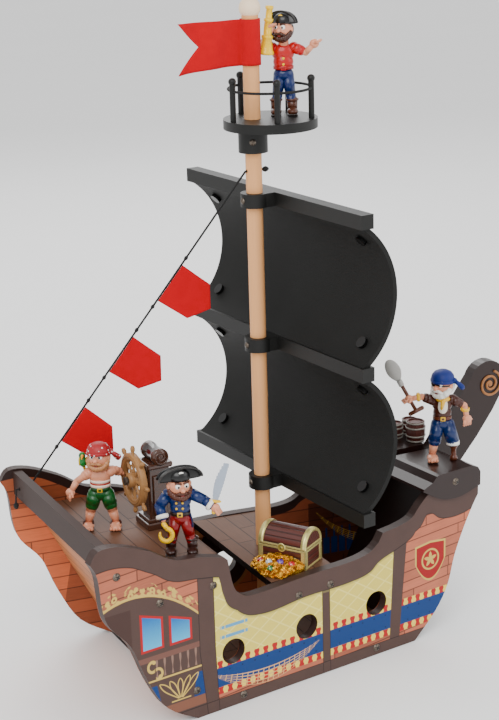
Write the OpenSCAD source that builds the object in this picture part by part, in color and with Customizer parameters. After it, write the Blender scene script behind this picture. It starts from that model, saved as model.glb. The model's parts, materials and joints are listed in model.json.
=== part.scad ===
/* [Hull] */
// Distance from the mast to the stern end of the side boards
hull_aft = 212; // [180:1:250]
// Distance from the mast to the bow end of the side boards
hull_fwd = 194; // [170:1:230]
// Half width over the side boards at the mast
half_w = 84; // [76:1:100]
// Angle at which each side board closes in towards the bow
taper = 7; // [4:0.5:9]
// Thickness of the side boards
side_t = 9; // [6:0.5:12]
// Height of the stern rail
stern_h = 176; // [165:1:200]
// Height of the rail at the waist
waist_h = 99; // [94:1:110]
// Height of the side boards under the prow caps
bow_h = 133; // [125:1:150]
// Radius of the portholes
port_r = 11.5; // [8:0.5:13]

/* [Decks] */
// Thickness of the decks and the inner boards
deck_t = 6; // [4:0.5:8]
// Height of the top of the stern deck
stern_deck_h = 140; // [132:1:144]
// Height of the top of the middle deck
mid_deck_h = 98; // [90:1:104]
// Thickness of the hull floor
floor_t = 8; // [5:0.5:12]

/* [Rig] */
// Diameter of the mast
mast_d = 14; // [10:0.5:18]
// Height of the top of the mast
mast_h = 571; // [540:1:640]
// Length of each yard
yard_l = 268; // [200:1:300]
// Depth and height of a yard's section
yard_s = 12; // [9:0.5:14]
// Height of the lowest yard's centre
low_yard_h = 160; // [160:1:180]
// Distance from one yard to the next
yard_gap = 128; // [100:1:130]
// How far each sail bellies forward
belly = 30; // [15:1:40]
// Thickness of a sail
sail_t = 4; // [2:0.5:5]
// Angle at which the rig stands
rig_angle = 6; // [-10:1:10]
// Height of the crow's nest floor
nest_h = 485; // [470:1:500]
// Radius of the crow's nest
nest_r = 40; // [34:1:46]

/* [Helm] */
// Radius of the ship's wheel over its handles
wheel_r = 31; // [24:1:34]
// Height of the wheel's axis above the stern deck
helm_h = 45; // [40:1:55]
// Diameter of the wheel's axle
axle_d = 4; // [3:0.5:6]

/* [Chest] */
// Length of the chest
chest_l = 46; // [38:1:50]
// Depth of the chest
chest_w = 30; // [24:1:32]
// Height of the chest's lower half
chest_h = 18; // [14:1:20]
// Wall of the chest
chest_wall = 2.5; // [1.5:0.5:3]

/* [Hidden] */
$fn = 48;
eps = 0.01;
seat = 0.2;
fit = 0.1;

rail_brown = [0.35, 0.27, 0.25];
deck_brown = [0.55, 0.43, 0.35];
dark_brown = [0.24, 0.16, 0.13];
black = [0.16, 0.16, 0.15];
dowel = [0.86, 0.70, 0.50];
tan_wood = [0.72, 0.52, 0.34];
felt_red = [0.82, 0.06, 0.14];
brass = [0.75, 0.68, 0.38];
gold = [0.85, 0.65, 0.20];
steel = [0.62, 0.62, 0.62];

mast_r = mast_d / 2;
keel_aft = hull_aft - 94;
keel_fwd = hull_fwd - 75;

// Points along an arc, and a smooth curve that passes through each of its points
function arc(c, r, a0, a1, n = 12) = [for (i = [0:n]) c + r * [cos(a0 + (a1 - a0) * i / n), sin(a0 + (a1 - a0) * i / n)]];
function at(p, i) = p[max(0, min(len(p) - 1, i))];
function spline(a, b, c, d, t) =
    0.5 * (2 * b + (c - a) * t + (2 * a - 5 * b + 4 * c - d) * t * t + (3 * b - a - 3 * c + d) * t * t * t);
function smooth(p, n = 4) = concat(
    [for (i = [0:len(p) - 2]) for (k = [0:n - 1]) spline(at(p, i - 1), p[i], p[i + 1], at(p, i + 2), k / n)],
    [p[len(p) - 1]]);
// The same outline moved by d
function moved(p, d) = [for (q = p) q + d];

// Half width over the side boards, and between them, at a place along the hull
function outer_y(x) = half_w - x * tan(taper);
function inner_y(x) = outer_y(x) - side_t / cos(taper);

// ---- Hull ----
stern_curve = [[-hull_aft, stern_h - 10], [-hull_aft + 6, stern_h - 23], [-hull_aft + 9, stern_h - 52],
               [-hull_aft + 15, stern_h - 69], [-hull_aft + 33, stern_h - 91], [-hull_aft + 47, 50],
               [-hull_aft + 65, 19], [-keel_aft, 0]];
bow_curve = [[keel_fwd, 0], [hull_fwd - 50, 24], [hull_fwd - 36, 46], [hull_fwd - 28, 73],
             [hull_fwd - 17, 98], [hull_fwd - 6, 118], [hull_fwd, bow_h - 6]];
cap_seat = [[hull_fwd, bow_h + 4], [hull_fwd - 24, bow_h - 2], [hull_fwd - 44, bow_h], [hull_fwd - 60, bow_h + 8]];
rise_curve = [[hull_fwd - 60, bow_h + 8], [hull_fwd - 70, bow_h - 1], [hull_fwd - 79, bow_h - 10],
              [hull_fwd - 93, waist_h + 20], [hull_fwd - 112, waist_h + 18]];
waist_curve = [[hull_fwd - 117, waist_h + 10], [hull_fwd - 128, waist_h + 3], [45, waist_h],
               [0, waist_h], [-56, waist_h - 2], [-70, waist_h + 2], [-78, waist_h + 12], [-83, waist_h + 37]];
stern_rail_curve = [[-86, waist_h + 40], [-111, waist_h + 47], [-135, stern_h - 26], [-hull_aft + 54, stern_h - 12],
                    [-hull_aft + 27, stern_h - 1], [-hull_aft + 8, stern_h], [-hull_aft, stern_h - 10]];
side_outline = concat(smooth(stern_curve), smooth(bow_curve), smooth(cap_seat), smooth(rise_curve),
                      smooth(waist_curve), smooth(stern_rail_curve));
port_x = [-80, -3, 74];
port_z = 51;
screw_x = [[-189, stern_h - 26], [-150, 116], [-98, 117], [-118, 26], [-11, waist_h - 16], [23, waist_h - 15],
           [-71, 7], [74, 7]];
screw_r = 1.5;
screw_head_r = 3.6;

// Puts a flat shape, drawn along the board and up, into the place of the starboard (-1) or port (1) side board,
// from depth d0 to depth d1 inside the outer face
module on_side(side, d0, d1) {
    mirror([0, side > 0 ? 1 : 0, 0])
        translate([0, -half_w, 0])
            rotate([0, 0, taper])
                translate([0, d1, 0])
                    rotate([90, 0, 0])
                        linear_extrude(d1 - d0) children();
}

module side_board(side) {
    difference() {
        on_side(side, 0, side_t) polygon(side_outline);
        for (x = port_x) on_side(side, -1, side_t + 1) translate([x, port_z]) circle(r = port_r);
        for (p = screw_x) on_side(side, -1, side_t + 1) translate(p) circle(r = screw_r + fit);
    }
}

module starboard_side() { color(rail_brown) side_board(-1); }
module port_side() { color(rail_brown) side_board(1); }

// The space between the side boards, from x0 to x1 and z0 to z1
module between_sides(x0, x1, z0, z1, gap = seat) {
    translate([0, 0, z0])
        linear_extrude(z1 - z0)
            polygon([[x0, inner_y(x0) - gap], [x1, inner_y(x1) - gap],
                     [x1, -inner_y(x1) + gap], [x0, -inner_y(x0) + gap]]);
}

floor_aft = -keel_aft;
floor_fwd = keel_fwd - 3;
module hull_floor() { color(deck_brown) between_sides(floor_aft, floor_fwd, 0, floor_t); }

transom_rake = 26;
transom_top = stern_h - 19;
// Where a raked board's outer face stands at height z
function transom_x(z) = floor_aft - 1 - (z - floor_t) * tan(transom_rake);
module transom() {
    color(tan_wood)
        intersection() {
            between_sides(-hull_aft, 0, floor_t, transom_top);
            translate([transom_x(floor_t), -150, floor_t])
                rotate([0, -transom_rake, 0]) translate([0, 0, -20]) cube([deck_t, 300, 260]);
        }
}

rail_board_t = 8;
rail_board_x = transom_x(transom_top) - rail_board_t - seat;
line_y = 84;
line_z = stern_h - 13;
line_hole_r = 1.6;
module stern_rail() {
    color(rail_brown)
        difference() {
            between_sides(rail_board_x, rail_board_x + rail_board_t, transom_top - 4, stern_h - 1);
            translate([rail_board_x - 1, line_y, line_z]) rotate([0, 90, 0]) cylinder(r = line_hole_r, h = rail_board_t + 2);
        }
}

stern_deck_x0 = transom_x(stern_deck_h) + deck_t / cos(transom_rake) + 4;
stern_deck_x1 = -88;
module stern_deck() {
    color(deck_brown) between_sides(stern_deck_x0, stern_deck_x1, stern_deck_h - deck_t, stern_deck_h);
}

mid_deck_x0 = -34;
mid_deck_x1 = 30;
module mid_deck() {
    color(deck_brown)
        difference() {
            between_sides(mid_deck_x0, mid_deck_x1, mid_deck_h - deck_t, mid_deck_h);
            translate([0, 0, mid_deck_h - deck_t - 1]) cylinder(r = mast_r + 3 * fit, h = deck_t + 2);
        }
}

batten_s = 8;
module batten(x0, x1, z) {
    for (s = [-1, 1])
        mirror([0, s > 0 ? 1 : 0, 0])
            translate([0, 0, z - batten_s])
                linear_extrude(batten_s)
                    polygon([[x0, -inner_y(x0) + seat], [x1, -inner_y(x1) + seat],
                             [x1, -inner_y(x1) + batten_s], [x0, -inner_y(x0) + batten_s]]);
}
module deck_battens() {
    color(tan_wood) {
        batten(mid_deck_x0 + 2, mid_deck_x1 - 2, mid_deck_h - deck_t);
        batten(stern_deck_x0 + 10, stern_deck_x1 - 2, stern_deck_h - deck_t);
    }
}

bow_rake = 24.4;
bow_wall_top = bow_h - 2.5;
module bow_wall() {
    color(dark_brown)
        intersection() {
            between_sides(0, hull_fwd, floor_t, bow_wall_top);
            translate([floor_fwd, -150, floor_t])
                rotate([0, bow_rake, 0]) translate([-deck_t, 0, -20]) cube([deck_t, 300, 200]);
        }
}

stem_t = 12;
stem_top = [hull_fwd + 46, 213];
stem_r = 20;
stem_foot = bow_h - 2;
stem_outline = concat([[hull_fwd - 36, stem_foot], [hull_fwd + 3, stem_foot], [hull_fwd + 14, stem_foot + 6],
                       [hull_fwd + 34, 160], [hull_fwd + 52, 184]],
                      arc(stem_top, stem_r, -35, 160, 16), [[hull_fwd - 20, 156]]);
module stem_board() {
    color(dark_brown) translate([0, stem_t / 2, 0]) rotate([90, 0, 0]) linear_extrude(stem_t) polygon(stem_outline);
}
scroll_t = 1.5;
module stem_scrolls() {
    color(tan_wood)
        for (s = [-1, 1])
            translate([stem_top[0] + 2, s * (stem_t / 2 + scroll_t / 2 + 0.05), stem_top[1] - 3])
                rotate([90, 0, 0]) cylinder(r = 10, h = scroll_t, center = true);
}

cap_top = bow_h + 25;
cap_lip = 3;
cap_outline = concat(moved(smooth(cap_seat), [0, seat]),
                     [[hull_fwd - 68, bow_h + 13], [hull_fwd - 67, bow_h + 15], [hull_fwd - 57, bow_h + 19],
                      [hull_fwd - 52, cap_top - 1], [hull_fwd - 48, cap_top],
                      [hull_fwd - 10, cap_top], [hull_fwd - 3, cap_top - 3], [hull_fwd, cap_top - 8]]);
// The cap runs from a lip outside the side board to the stem board
prow_screw_at = [hull_fwd - 30, bow_h + 14];
prow_screw_l = 9;
module prow_cap(side) {
    difference() {
        intersection() {
            on_side(side, -cap_lip, 120) polygon(cap_outline);
            translate([0, side > 0 ? stem_t / 2 + seat : -150, 0]) cube([400, 150 - stem_t / 2 - seat, 300]);
        }
        on_side(side, -cap_lip - 1, prow_screw_l + 1 - cap_lip) translate(prow_screw_at) circle(r = screw_r + fit);
    }
}
module starboard_prow_cap() { color(dark_brown) prow_cap(-1); }
module port_prow_cap() { color(dark_brown) prow_cap(1); }

// A screw with a domed head, its shank along -Z below the seat
module screw(head_r, shank_r, shank_l) {
    head_h = head_r * 0.6;
    ball_r = (head_r * head_r + head_h * head_h) / (2 * head_h);
    intersection() {
        translate([0, 0, head_h - ball_r]) sphere(r = ball_r);
        cylinder(r = head_r, h = head_h + 1);
    }
    translate([0, 0, -shank_l]) cylinder(r = shank_r, h = shank_l + eps);
}
module side_screws(side) {
    for (p = screw_x)
        mirror([0, side > 0 ? 1 : 0, 0])
            translate([0, -half_w, 0]) rotate([0, 0, taper]) translate([p[0], 0, p[1]])
                rotate([90, 0, 0]) screw(screw_head_r, screw_r, side_t - 1);
}
module starboard_screws() { color(steel) side_screws(-1); }
module port_screws() { color(steel) side_screws(1); }
module prow_screws() {
    color(steel)
        for (s = [-1, 1])
            mirror([0, s > 0 ? 1 : 0, 0])
                translate([0, -half_w, 0]) rotate([0, 0, taper]) translate([prow_screw_at[0], -cap_lip, prow_screw_at[1]])
                    rotate([90, 0, 0]) screw(screw_head_r, screw_r, prow_screw_l);
}

barrel_r = 8;
barrel_at = [hull_fwd - 14, 32];
// A staved barrel standing on its end
module barrel(r, h) {
    bulge = r * 0.15;
    rotate_extrude()
        polygon(concat([[0, 0]], [for (i = [0:8]) [r - bulge + bulge * sin(180 * i / 8), h * i / 8]], [[0, h]]));
}
module barrels() {
    color(dark_brown)
        translate([barrel_at[0], barrel_at[1], cap_top]) {
            translate([-5, -13, 0]) barrel(barrel_r + 1.5, 20);
            translate([-17, 5, 0]) barrel(barrel_r, 15);
            translate([1, 7, 0]) barrel(barrel_r, 15);
        }
}
ring_r = 6.5;
module barrel_ring() {
    color(tan_wood)
        translate([barrel_at[0] - 32, barrel_at[1] + 2, cap_top + ring_r + 2])
            rotate([90, 0, -28]) rotate_extrude() translate([ring_r, 0]) circle(r = 2, $fn = 24);
}

// ---- Mast and crow's nest ----
step_r = 16;
step_h = 24;
module mast_step() {
    color(tan_wood)
        translate([0, 0, floor_t])
            difference() {
                cylinder(r = step_r, h = step_h);
                translate([0, 0, -1]) cylinder(r = mast_r + fit, h = step_h + 2);
            }
}
mast_hole_z = low_yard_h + 2 * yard_gap + 25;
module mast() {
    color(dowel)
        difference() {
            translate([0, 0, floor_t]) cylinder(r = mast_r, h = mast_h - floor_t);
            translate([0, 0, mast_hole_z]) rotate([0, 90, 0]) cylinder(r = line_hole_r, h = 40, center = true);
        }
}
ball_r = 9;
module mast_ball() {
    color("bisque")
        intersection() {
            translate([0, 0, mast_h + sqrt(ball_r * ball_r - mast_r * mast_r)]) sphere(r = ball_r);
            translate([-20, -20, mast_h]) cube(40);
        }
}
flag_h = 38;
flag_l = 66;
flag_t = 1.4;
flag_z = mast_h - flag_h - 3;
module masthead_flag() {
    color(felt_red) {
        translate([0, 0, flag_z])
            difference() {
                cylinder(r = mast_r + fit + flag_t, h = flag_h);
                translate([0, 0, -1]) cylinder(r = mast_r + fit, h = flag_h + 2);
            }
        translate([0, flag_t / 2, flag_z])
            rotate([90, 0, 0])
                linear_extrude(flag_t)
                    polygon([[-mast_r - fit - flag_t / 2, 0], [-flag_l, 0], [-flag_l + 20, flag_h / 2], [-flag_l, flag_h],
                             [-mast_r - fit - flag_t / 2, flag_h]]);
    }
}

nest_t = 8;
nest_boss_r = mast_r + 5.5;
nest_boss_h = 20;
nest_at = [15, -4];
post_r = 2.5;
post_h = 33;
post_ring = nest_r - 5;
post_angles = [for (i = [0:4]) 36 + 72 * i];
nest_screw_z = nest_h - nest_t - nest_boss_h / 2;
nest_screw_turn = -118;
module nest_platform() {
    color(black)
        difference() {
            union() {
                translate([nest_at[0], nest_at[1], nest_h - nest_t]) cylinder(r = nest_r, h = nest_t);
                translate([0, 0, nest_h - nest_t - nest_boss_h]) cylinder(r = nest_boss_r, h = nest_boss_h + eps);
            }
            translate([0, 0, nest_h - 60]) cylinder(r = mast_r + fit, h = 100);
            for (a = post_angles)
                translate([nest_at[0] + post_ring * cos(a), nest_at[1] + post_ring * sin(a), nest_h - 5])
                    cylinder(r = post_r + fit, h = 10);
            translate([0, 0, nest_screw_z]) rotate([0, 90, nest_screw_turn]) cylinder(r = 1.2 + fit, h = 30);
        }
}
module nest_posts() {
    color(black)
        for (a = post_angles)
            translate([nest_at[0] + post_ring * cos(a), nest_at[1] + post_ring * sin(a), nest_h - 5]) {
                cylinder(r = post_r, h = post_h + 5);
                translate([0, 0, post_h + 5]) sphere(r = post_r + 0.8);
            }
}
rope_r = 1.1;
module nest_rope() {
    color(black)
        translate([nest_at[0], nest_at[1], nest_h + 25])
            rotate_extrude() translate([post_ring, 0]) circle(r = rope_r, $fn = 16);
}
module nest_screw() {
    color(steel)
        translate([0, 0, nest_screw_z])
            rotate([0, 90, nest_screw_turn])
                translate([0, 0, nest_boss_r + 0.1]) screw(2.8, 1.2, nest_boss_r - mast_r - 0.4);
}

// ---- Yards and sails ----
yard_x = mast_r + 12.5;
collar_r = mast_r + 5;
yard_z = [low_yard_h, low_yard_h + yard_gap, low_yard_h + 2 * yard_gap];
module yard(z) {
    rotate([0, 0, rig_angle])
        translate([0, 0, z])
            difference() {
                union() {
                    translate([yard_x - yard_s / 2, -yard_l / 2, -yard_s / 2]) cube([yard_s, yard_l, yard_s]);
                    cylinder(r = collar_r, h = yard_s, center = true);
                    translate([0, -collar_r + 1, -yard_s / 2]) cube([yard_x, 2 * collar_r - 2, yard_s]);
                }
                cylinder(r = mast_r + fit, h = yard_s + 2, center = true);
                rotate([0, -90, 0]) cylinder(r = 1.2 + fit, h = 30);
            }
}
module upper_yard() { color(black) yard(yard_z[2]); }
module middle_yard() { color(black) yard(yard_z[1]); }
module lower_yard() { color(black) yard(yard_z[0]); }
module yard_screws() {
    color(steel)
        for (z = yard_z)
            rotate([0, 0, rig_angle])
                translate([-collar_r - 0.1, 0, z]) rotate([0, -90, 0]) screw(2.8, 1.2, collar_r - mast_r - 0.4);
}
sail_w = yard_l - 6;
chord = yard_gap - yard_s;
sail_r = (chord * chord / 4 + belly * belly) / (2 * belly);
module sail(z) {
    rotate([0, 0, rig_angle])
        translate([yard_x + belly - sail_r, sail_w / 2, z + yard_gap / 2])
            rotate([90, 0, 0])
                linear_extrude(sail_w)
                    intersection() {
                        difference() {
                            circle(r = sail_r + sail_t / 2, $fn = 96);
                            circle(r = sail_r - sail_t / 2, $fn = 96);
                        }
                        translate([0, -chord / 2]) square([sail_r * 2, chord]);
                    }
}
module upper_sail() { color(black) sail(yard_z[1]); }
module lower_sail() { color(black) sail(yard_z[0]); }
knob_r = 5;
knob_t = 3;
knob_turn = 40;
module sail_knobs() {
    color(black)
        rotate([0, 0, rig_angle])
            for (z = [yard_z[0], yard_z[1]], a = [-knob_turn, knob_turn], y = [-1, 1])
                translate([yard_x + belly - sail_r, y * (sail_w / 2 - 20), z + yard_gap / 2])
                    rotate([0, -a, 0])
                        translate([sail_r - sail_t / 2 - knob_t - 0.4, 0, 0])
                            rotate([0, 90, 0]) cylinder(r = knob_r, h = knob_t);
}

// ---- Pennant line ----
line_r = 0.9;
line_top = [-mast_r - 1, 0, mast_hole_z];
line_foot = [rail_board_x + rail_board_t + 1, line_y, line_z];
line_v = line_foot - line_top;
line_len = norm(line_v);
pennant_at = [0.34, 0.565, 0.79];
knot_r = 1.8;
end_knot_r = 2.6;
line_sides = 8;
line_end = [rail_board_x - 4, line_y, line_z - 15];
// Rings of the cord, each a middle and a radius; a knot swells and narrows again along v
function knot(p, v, r) = [for (k = [-2:2]) [p + v * k * r * 0.6, k * k == 4 ? line_r : k == 0 ? r : r * 0.8]];
line_rings = concat(
    knot([mast_r + 4, 0, mast_hole_z], [-1, 0, 0], end_knot_r),
    [[[0, 0, mast_hole_z], line_r], [line_top, line_r]],
    [for (t = pennant_at, s = [-1, 1]) each knot(line_top + line_v * (t + s * 26 / line_len), line_v / line_len, knot_r)],
    [[line_foot, line_r], [[rail_board_x - 3, line_y, line_z], line_r]],
    knot(line_end, [0, 0, -1], end_knot_r));
// The cord's direction at ring i, and the corners of that ring
function line_way(i) = let (d = line_rings[min(i + 1, len(line_rings) - 1)][0] - line_rings[max(i - 1, 0)][0]) d / norm(d);
function line_corners(i) =
    let (w = line_way(i), u0 = cross(w, [0, 1, 0]), u = u0 / norm(u0), v = cross(w, u), r = line_rings[i][1])
        [for (k = [0:line_sides - 1]) line_rings[i][0] + r * (u * cos(360 * k / line_sides) + v * sin(360 * k / line_sides))];
module pennant_line() {
    n = len(line_rings);
    m = line_sides;
    color(black)
        polyhedron(
            points = [for (i = [0:n - 1]) each line_corners(i)],
            faces = concat(
                [[for (k = [0:m - 1]) k], [for (k = [0:m - 1]) n * m - 1 - k]],
                [for (i = [0:n - 2], k = [0:m - 1]) [i * m + k, i * m + m + k, i * m + m + (k + 1) % m]],
                [for (i = [0:n - 2], k = [0:m - 1]) [i * m + k, i * m + m + (k + 1) % m, i * m + (k + 1) % m]]));
}
pennant_w = 38;
pennant_l = 42;
pennant_t = 1.4;
module pennants() {
    color(felt_red)
        for (t = pennant_at)
            translate(line_top + line_v * t)
                rotate([0, 0, atan2(line_v[1], line_v[0])])
                    rotate([0, acos(line_v[2] / line_len) - 90, 0])
                        translate([0, pennant_t / 2, -line_r - 0.2])
                            rotate([90, 0, 0])
                                linear_extrude(pennant_t)
                                    polygon([[-pennant_w / 2, 0], [pennant_w / 2, 0], [pennant_w / 2 - 2, -pennant_l * 0.7],
                                             [0, -pennant_l], [-pennant_w / 2 + 2, -pennant_l * 0.7]]);
}

// ---- Helm ----
helm_x = -104;
stand_w = 20;
stand_d = 22;
wheel_x = helm_x - stand_d / 2 - 9;
axis_z = stern_deck_h + helm_h;
axle_r = axle_d / 2;
module helm_stand() {
    color(dark_brown)
        difference() {
            union() {
                translate([helm_x - stand_d / 2, -stand_w / 2, stern_deck_h]) cube([stand_d, stand_w, 62]);
                translate([helm_x - stand_d / 2 - 4, -stand_w / 2 - 4, stern_deck_h]) cube([stand_d + 8, stand_w + 8, 7]);
                translate([helm_x, 0, stern_deck_h + 66])
                    rotate([90, 0, 0]) cylinder(r = 7, h = stand_w + 8, center = true);
            }
            translate([helm_x - stand_d, 0, axis_z]) rotate([0, 90, 0]) cylinder(r = axle_r + fit / 2, h = stand_d + 3);
        }
}
module helm_axle() {
    color(steel) {
        translate([wheel_x - 7, 0, axis_z]) rotate([0, 90, 0]) cylinder(r = axle_r, h = stand_d + 6);
        translate([wheel_x - 9, 0, axis_z]) rotate([0, 90, 0]) cylinder(r = axle_r + 1.6, h = 2);
    }
}
rim_r = wheel_r * 0.66;
module helm_wheel() {
    color(tan_wood)
        translate([wheel_x, 0, axis_z])
            rotate([0, 90, 0])
                difference() {
                    union() {
                        difference() {
                            cylinder(r = rim_r + 3, h = 6, center = true);
                            cylinder(r = rim_r - 3, h = 8, center = true);
                        }
                        translate([0, 0, -6]) cylinder(r = 6.5, h = 14.6);
                        for (a = [0:45:315]) rotate([0, 0, a]) rotate([0, 90, 0]) cylinder(r = 1.8, h = wheel_r);
                    }
                    cylinder(r = axle_r + fit / 2, h = 60, center = true);
                }
}

// ---- Treasure chest ----
chest_at = [3, -45];
chest_turn = -57;
chest_z = mid_deck_h;
lid_r = chest_w / 2;
pin_r = 1;
// Puts a part drawn about the chest's own middle, with its front towards -Y, into its place
module in_chest() {
    translate([chest_at[0], chest_at[1], chest_z]) rotate([0, 0, chest_turn]) children();
}
hinge_y = lid_r + 2.2;
module chest_base() {
    color(dark_brown)
        in_chest() {
            difference() {
                translate([-chest_l / 2, -chest_w / 2, 0]) cube([chest_l, chest_w, chest_h]);
                translate([-chest_l / 2 + chest_wall, -chest_w / 2 + chest_wall, chest_wall])
                    cube([chest_l - 2 * chest_wall, chest_w - 2 * chest_wall, chest_h]);
            }
            for (x = [-14, 14]) difference() {
                union() {
                    translate([x, hinge_y, chest_h]) rotate([0, 90, 0]) cylinder(r = 1.9, h = 6, center = true);
                    translate([x - 3, chest_w / 2 - 0.5, chest_h - 6]) cube([6, 3.1, 5.5]);
                }
                translate([x, hinge_y, chest_h]) rotate([0, 90, 0]) cylinder(r = pin_r + 0.05, h = 8, center = true);
            }
        }
}
module chest_pin() {
    color(brass) in_chest() translate([0, hinge_y, chest_h]) rotate([0, 90, 0]) cylinder(r = pin_r, h = 35, center = true);
}
lid_gap = 0.3;
module chest_lid() {
    color(dark_brown)
        in_chest() {
            intersection() {
                difference() {
                    translate([0, 0, chest_h + lid_gap]) rotate([0, 90, 0]) cylinder(r = lid_r, h = chest_l, center = true);
                    translate([0, 0, chest_h + lid_gap]) rotate([0, 90, 0])
                        cylinder(r = lid_r - chest_wall, h = chest_l - 2 * chest_wall, center = true);
                }
                translate([-50, -50, chest_h + lid_gap]) cube(100);
            }
            difference() {
                union() {
                    translate([0, hinge_y, chest_h]) rotate([0, 90, 0]) cylinder(r = 1.9, h = 20, center = true);
                    translate([-10, chest_w / 2 - 2, chest_h + lid_gap]) cube([20, 3.5, 1.5]);
                }
                translate([0, hinge_y, chest_h]) rotate([0, 90, 0]) cylinder(r = pin_r + 0.05, h = 30, center = true);
            }
        }
}
band_t = 1;
band_w = 5;
band_x = chest_l / 2 - 5;
module chest_bands() {
    color(brass)
        in_chest()
            for (x = [-band_x, band_x])
                translate([x - band_w / 2, -chest_w / 2 - band_t, 0]) cube([band_w, band_t, chest_h]);
}
module lid_bands() {
    color(brass)
        in_chest()
            for (x = [-band_x, band_x])
                translate([x, 0, chest_h + lid_gap])
                    rotate([0, 90, 0])
                        intersection() {
                            difference() {
                                cylinder(r = lid_r + band_t, h = band_w, center = true);
                                cylinder(r = lid_r, h = band_w + 1, center = true);
                            }
                            translate([-50, -50, -50]) cube([50, 50 + lid_r - 4, 100]);
                        }
}
module chest_hasp() {
    color(brass) in_chest() translate([0, -chest_w / 2 - band_t, chest_h - 1]) rotate([90, 0, 0]) translate([0, 0, -band_t + 0.1])
        cylinder(r = 3.4, h = 1.5);
}
heap_r = 30;
heap_h = 11;
heap_ball = (heap_r * heap_r + heap_h * heap_h) / (2 * heap_h);
heap_at = [-6, -52];
gem_at = [[-16, -24, 5], [-6, -27, 6.5], [4, -25, 7.5], [14, -23, 6.5], [-1, -34, 4]];
gem_r = 4;
module treasure() {
    color(gold)
        difference() {
            intersection() {
                translate([heap_at[0], heap_at[1], mid_deck_h + heap_h - heap_ball]) sphere(r = heap_ball, $fn = 96);
                between_sides(mid_deck_x0 + 1, mid_deck_x1 - 1, mid_deck_h, mid_deck_h + 30, 1);
            }
            in_chest() translate([-chest_l / 2 - 12, -chest_w / 2 - band_t - 1, -1]) cube([chest_l + 40, 80, 60]);
            translate([0, 0, mid_deck_h - 1]) cylinder(r = mast_r + 3, h = 60);
            in_chest() for (g = gem_at) translate(g) sphere(r = gem_r + 0.1, $fn = 24);
        }
}
module gems() {
    color("crimson") in_chest() for (g = gem_at) translate(g) sphere(r = gem_r, $fn = 24);
}

// ---- Crew ----
// A limb from a to b, as thick as ra at a and rb at b
module limb(a, b, ra, rb) {
    hull() {
        translate(a) sphere(r = ra, $fn = 10);
        translate(b) sphere(r = rb, $fn = 10);
    }
}
// Puts a figure that looks towards its own -Y on its feet at p
view_turn = -28;
module stand_at(p) { translate(p) rotate([0, 0, view_turn]) children(); }
// A figure: feet, legs, body, head and hat, then arms given as [shoulder, elbow, hand]
module figure(h, feet, arms, hat_r) {
    hip = h * 0.36;
    chest = h * 0.56;
    for (x = feet) {
        translate([x - 4.5, -10, 0]) cube([9, 15, 6]);
        limb([x, 0, 5], [x * 0.6, 0, hip], 5, 6.5);
    }
    limb([0, 0, hip], [0, 0, chest], 9, 9.5);
    limb([0, -0.5, chest + 12], [0, -1, chest + 17], 8.5, 9);
    limb([-hat_r * 0.4, 1, chest + 26], [hat_r * 0.4, 1, chest + 26], 6, 6);
    for (a = arms) {
        limb(a[0], a[1], 4.5, 4);
        limb(a[1], a[2], 4, 4.2);
    }
}
lookout_at = [32.5, 3.5, nest_h + seat];
lookout_hand = [-12, -9.5, 77];
module lookout() {
    color("firebrick") stand_at(lookout_at)
        figure(92, [-8, 8], [[[-9, 0, 56], [-17, -4, 62], lookout_hand], [[9, 0, 56], [20, -2, 52], [26, -3, 60]]], 12);
}
module lookout_spyglass() {
    color("gold") stand_at(lookout_at)
        translate(lookout_hand) rotate([0, 6, 0]) {
            translate([0, 0, -22]) cylinder(r1 = 6, r2 = 4, h = 12);
            translate([0, 0, -10 - eps]) cylinder(r = 3, h = 24);
        }
}
deckhand_at = [-149, 16, stern_deck_h + seat];
module deckhand() {
    color("green") stand_at(deckhand_at)
        figure(89, [-13, 13], [[[-9, 0, 52], [-22, -2, 44], [-26, -4, 34]], [[9, 0, 54], [14, 2, 54], [15, 6, 50]]], 11);
}
captain_at = [-112, -68, stern_deck_h + seat];
captain_hand = [29, -4, 44];
module captain() {
    color("darkblue") stand_at(captain_at)
        figure(97, [-8, 8], [[[-10, 0, 60], [-17, -2, 48], [-14, -6, 34]], [[10, 0, 60], [21, -1, 54], captain_hand]], 15);
}
module captain_sabre() {
    color("gainsboro") stand_at(captain_at)
        translate(captain_hand)
            rotate([0, 10, 0]) translate([-2.5, -0.75, -4]) cube([5, 1.5, 40]);
}
digger_at = [hull_fwd - 26, -37, cap_top + seat];
digger_hand = [-31, -4, 62];
module digger() {
    color("navy") stand_at(digger_at)
        figure(99, [-9, 11], [[[-9, 0, 60], [-19, -2, 64], digger_hand], [[9, 0, 60], [21, 0, 52], [22, -3, 42]]], 10);
}
module digger_spade() {
    color("silver") stand_at(digger_at)
        translate(digger_hand)
            rotate([0, -28, 0]) {
                translate([0, 0, -14]) cylinder(r = 1.8, h = 30);
                translate([-5, -1, 16 - eps]) cube([10, 2, 24]);
                translate([-6, -1.8, -16]) cube([12, 3.6, 3.6]);
            }
}

starboard_side();
port_side();
hull_floor();
transom();
stern_rail();
stern_deck();
mid_deck();
deck_battens();
bow_wall();
stem_board();
stem_scrolls();
starboard_prow_cap();
port_prow_cap();
starboard_screws();
port_screws();
prow_screws();
barrels();
barrel_ring();
mast_step();
mast();
mast_ball();
masthead_flag();
nest_platform();
nest_posts();
nest_rope();
nest_screw();
upper_yard();
middle_yard();
lower_yard();
yard_screws();
upper_sail();
lower_sail();
sail_knobs();
pennant_line();
pennants();
helm_stand();
helm_axle();
helm_wheel();
chest_base();
chest_bands();
chest_pin();
chest_lid();
lid_bands();
chest_hasp();
treasure();
gems();
lookout();
lookout_spyglass();
deckhand();
captain();
captain_sabre();
digger();
digger_spade();
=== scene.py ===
"""Looks of a wooden toy sailing ship with its rig, treasure chest and crew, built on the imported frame."""
import json
import math
import random

import bmesh
import bpy
from mathutils import Matrix, Vector
from mathutils.bvhtree import BVHTree


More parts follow.
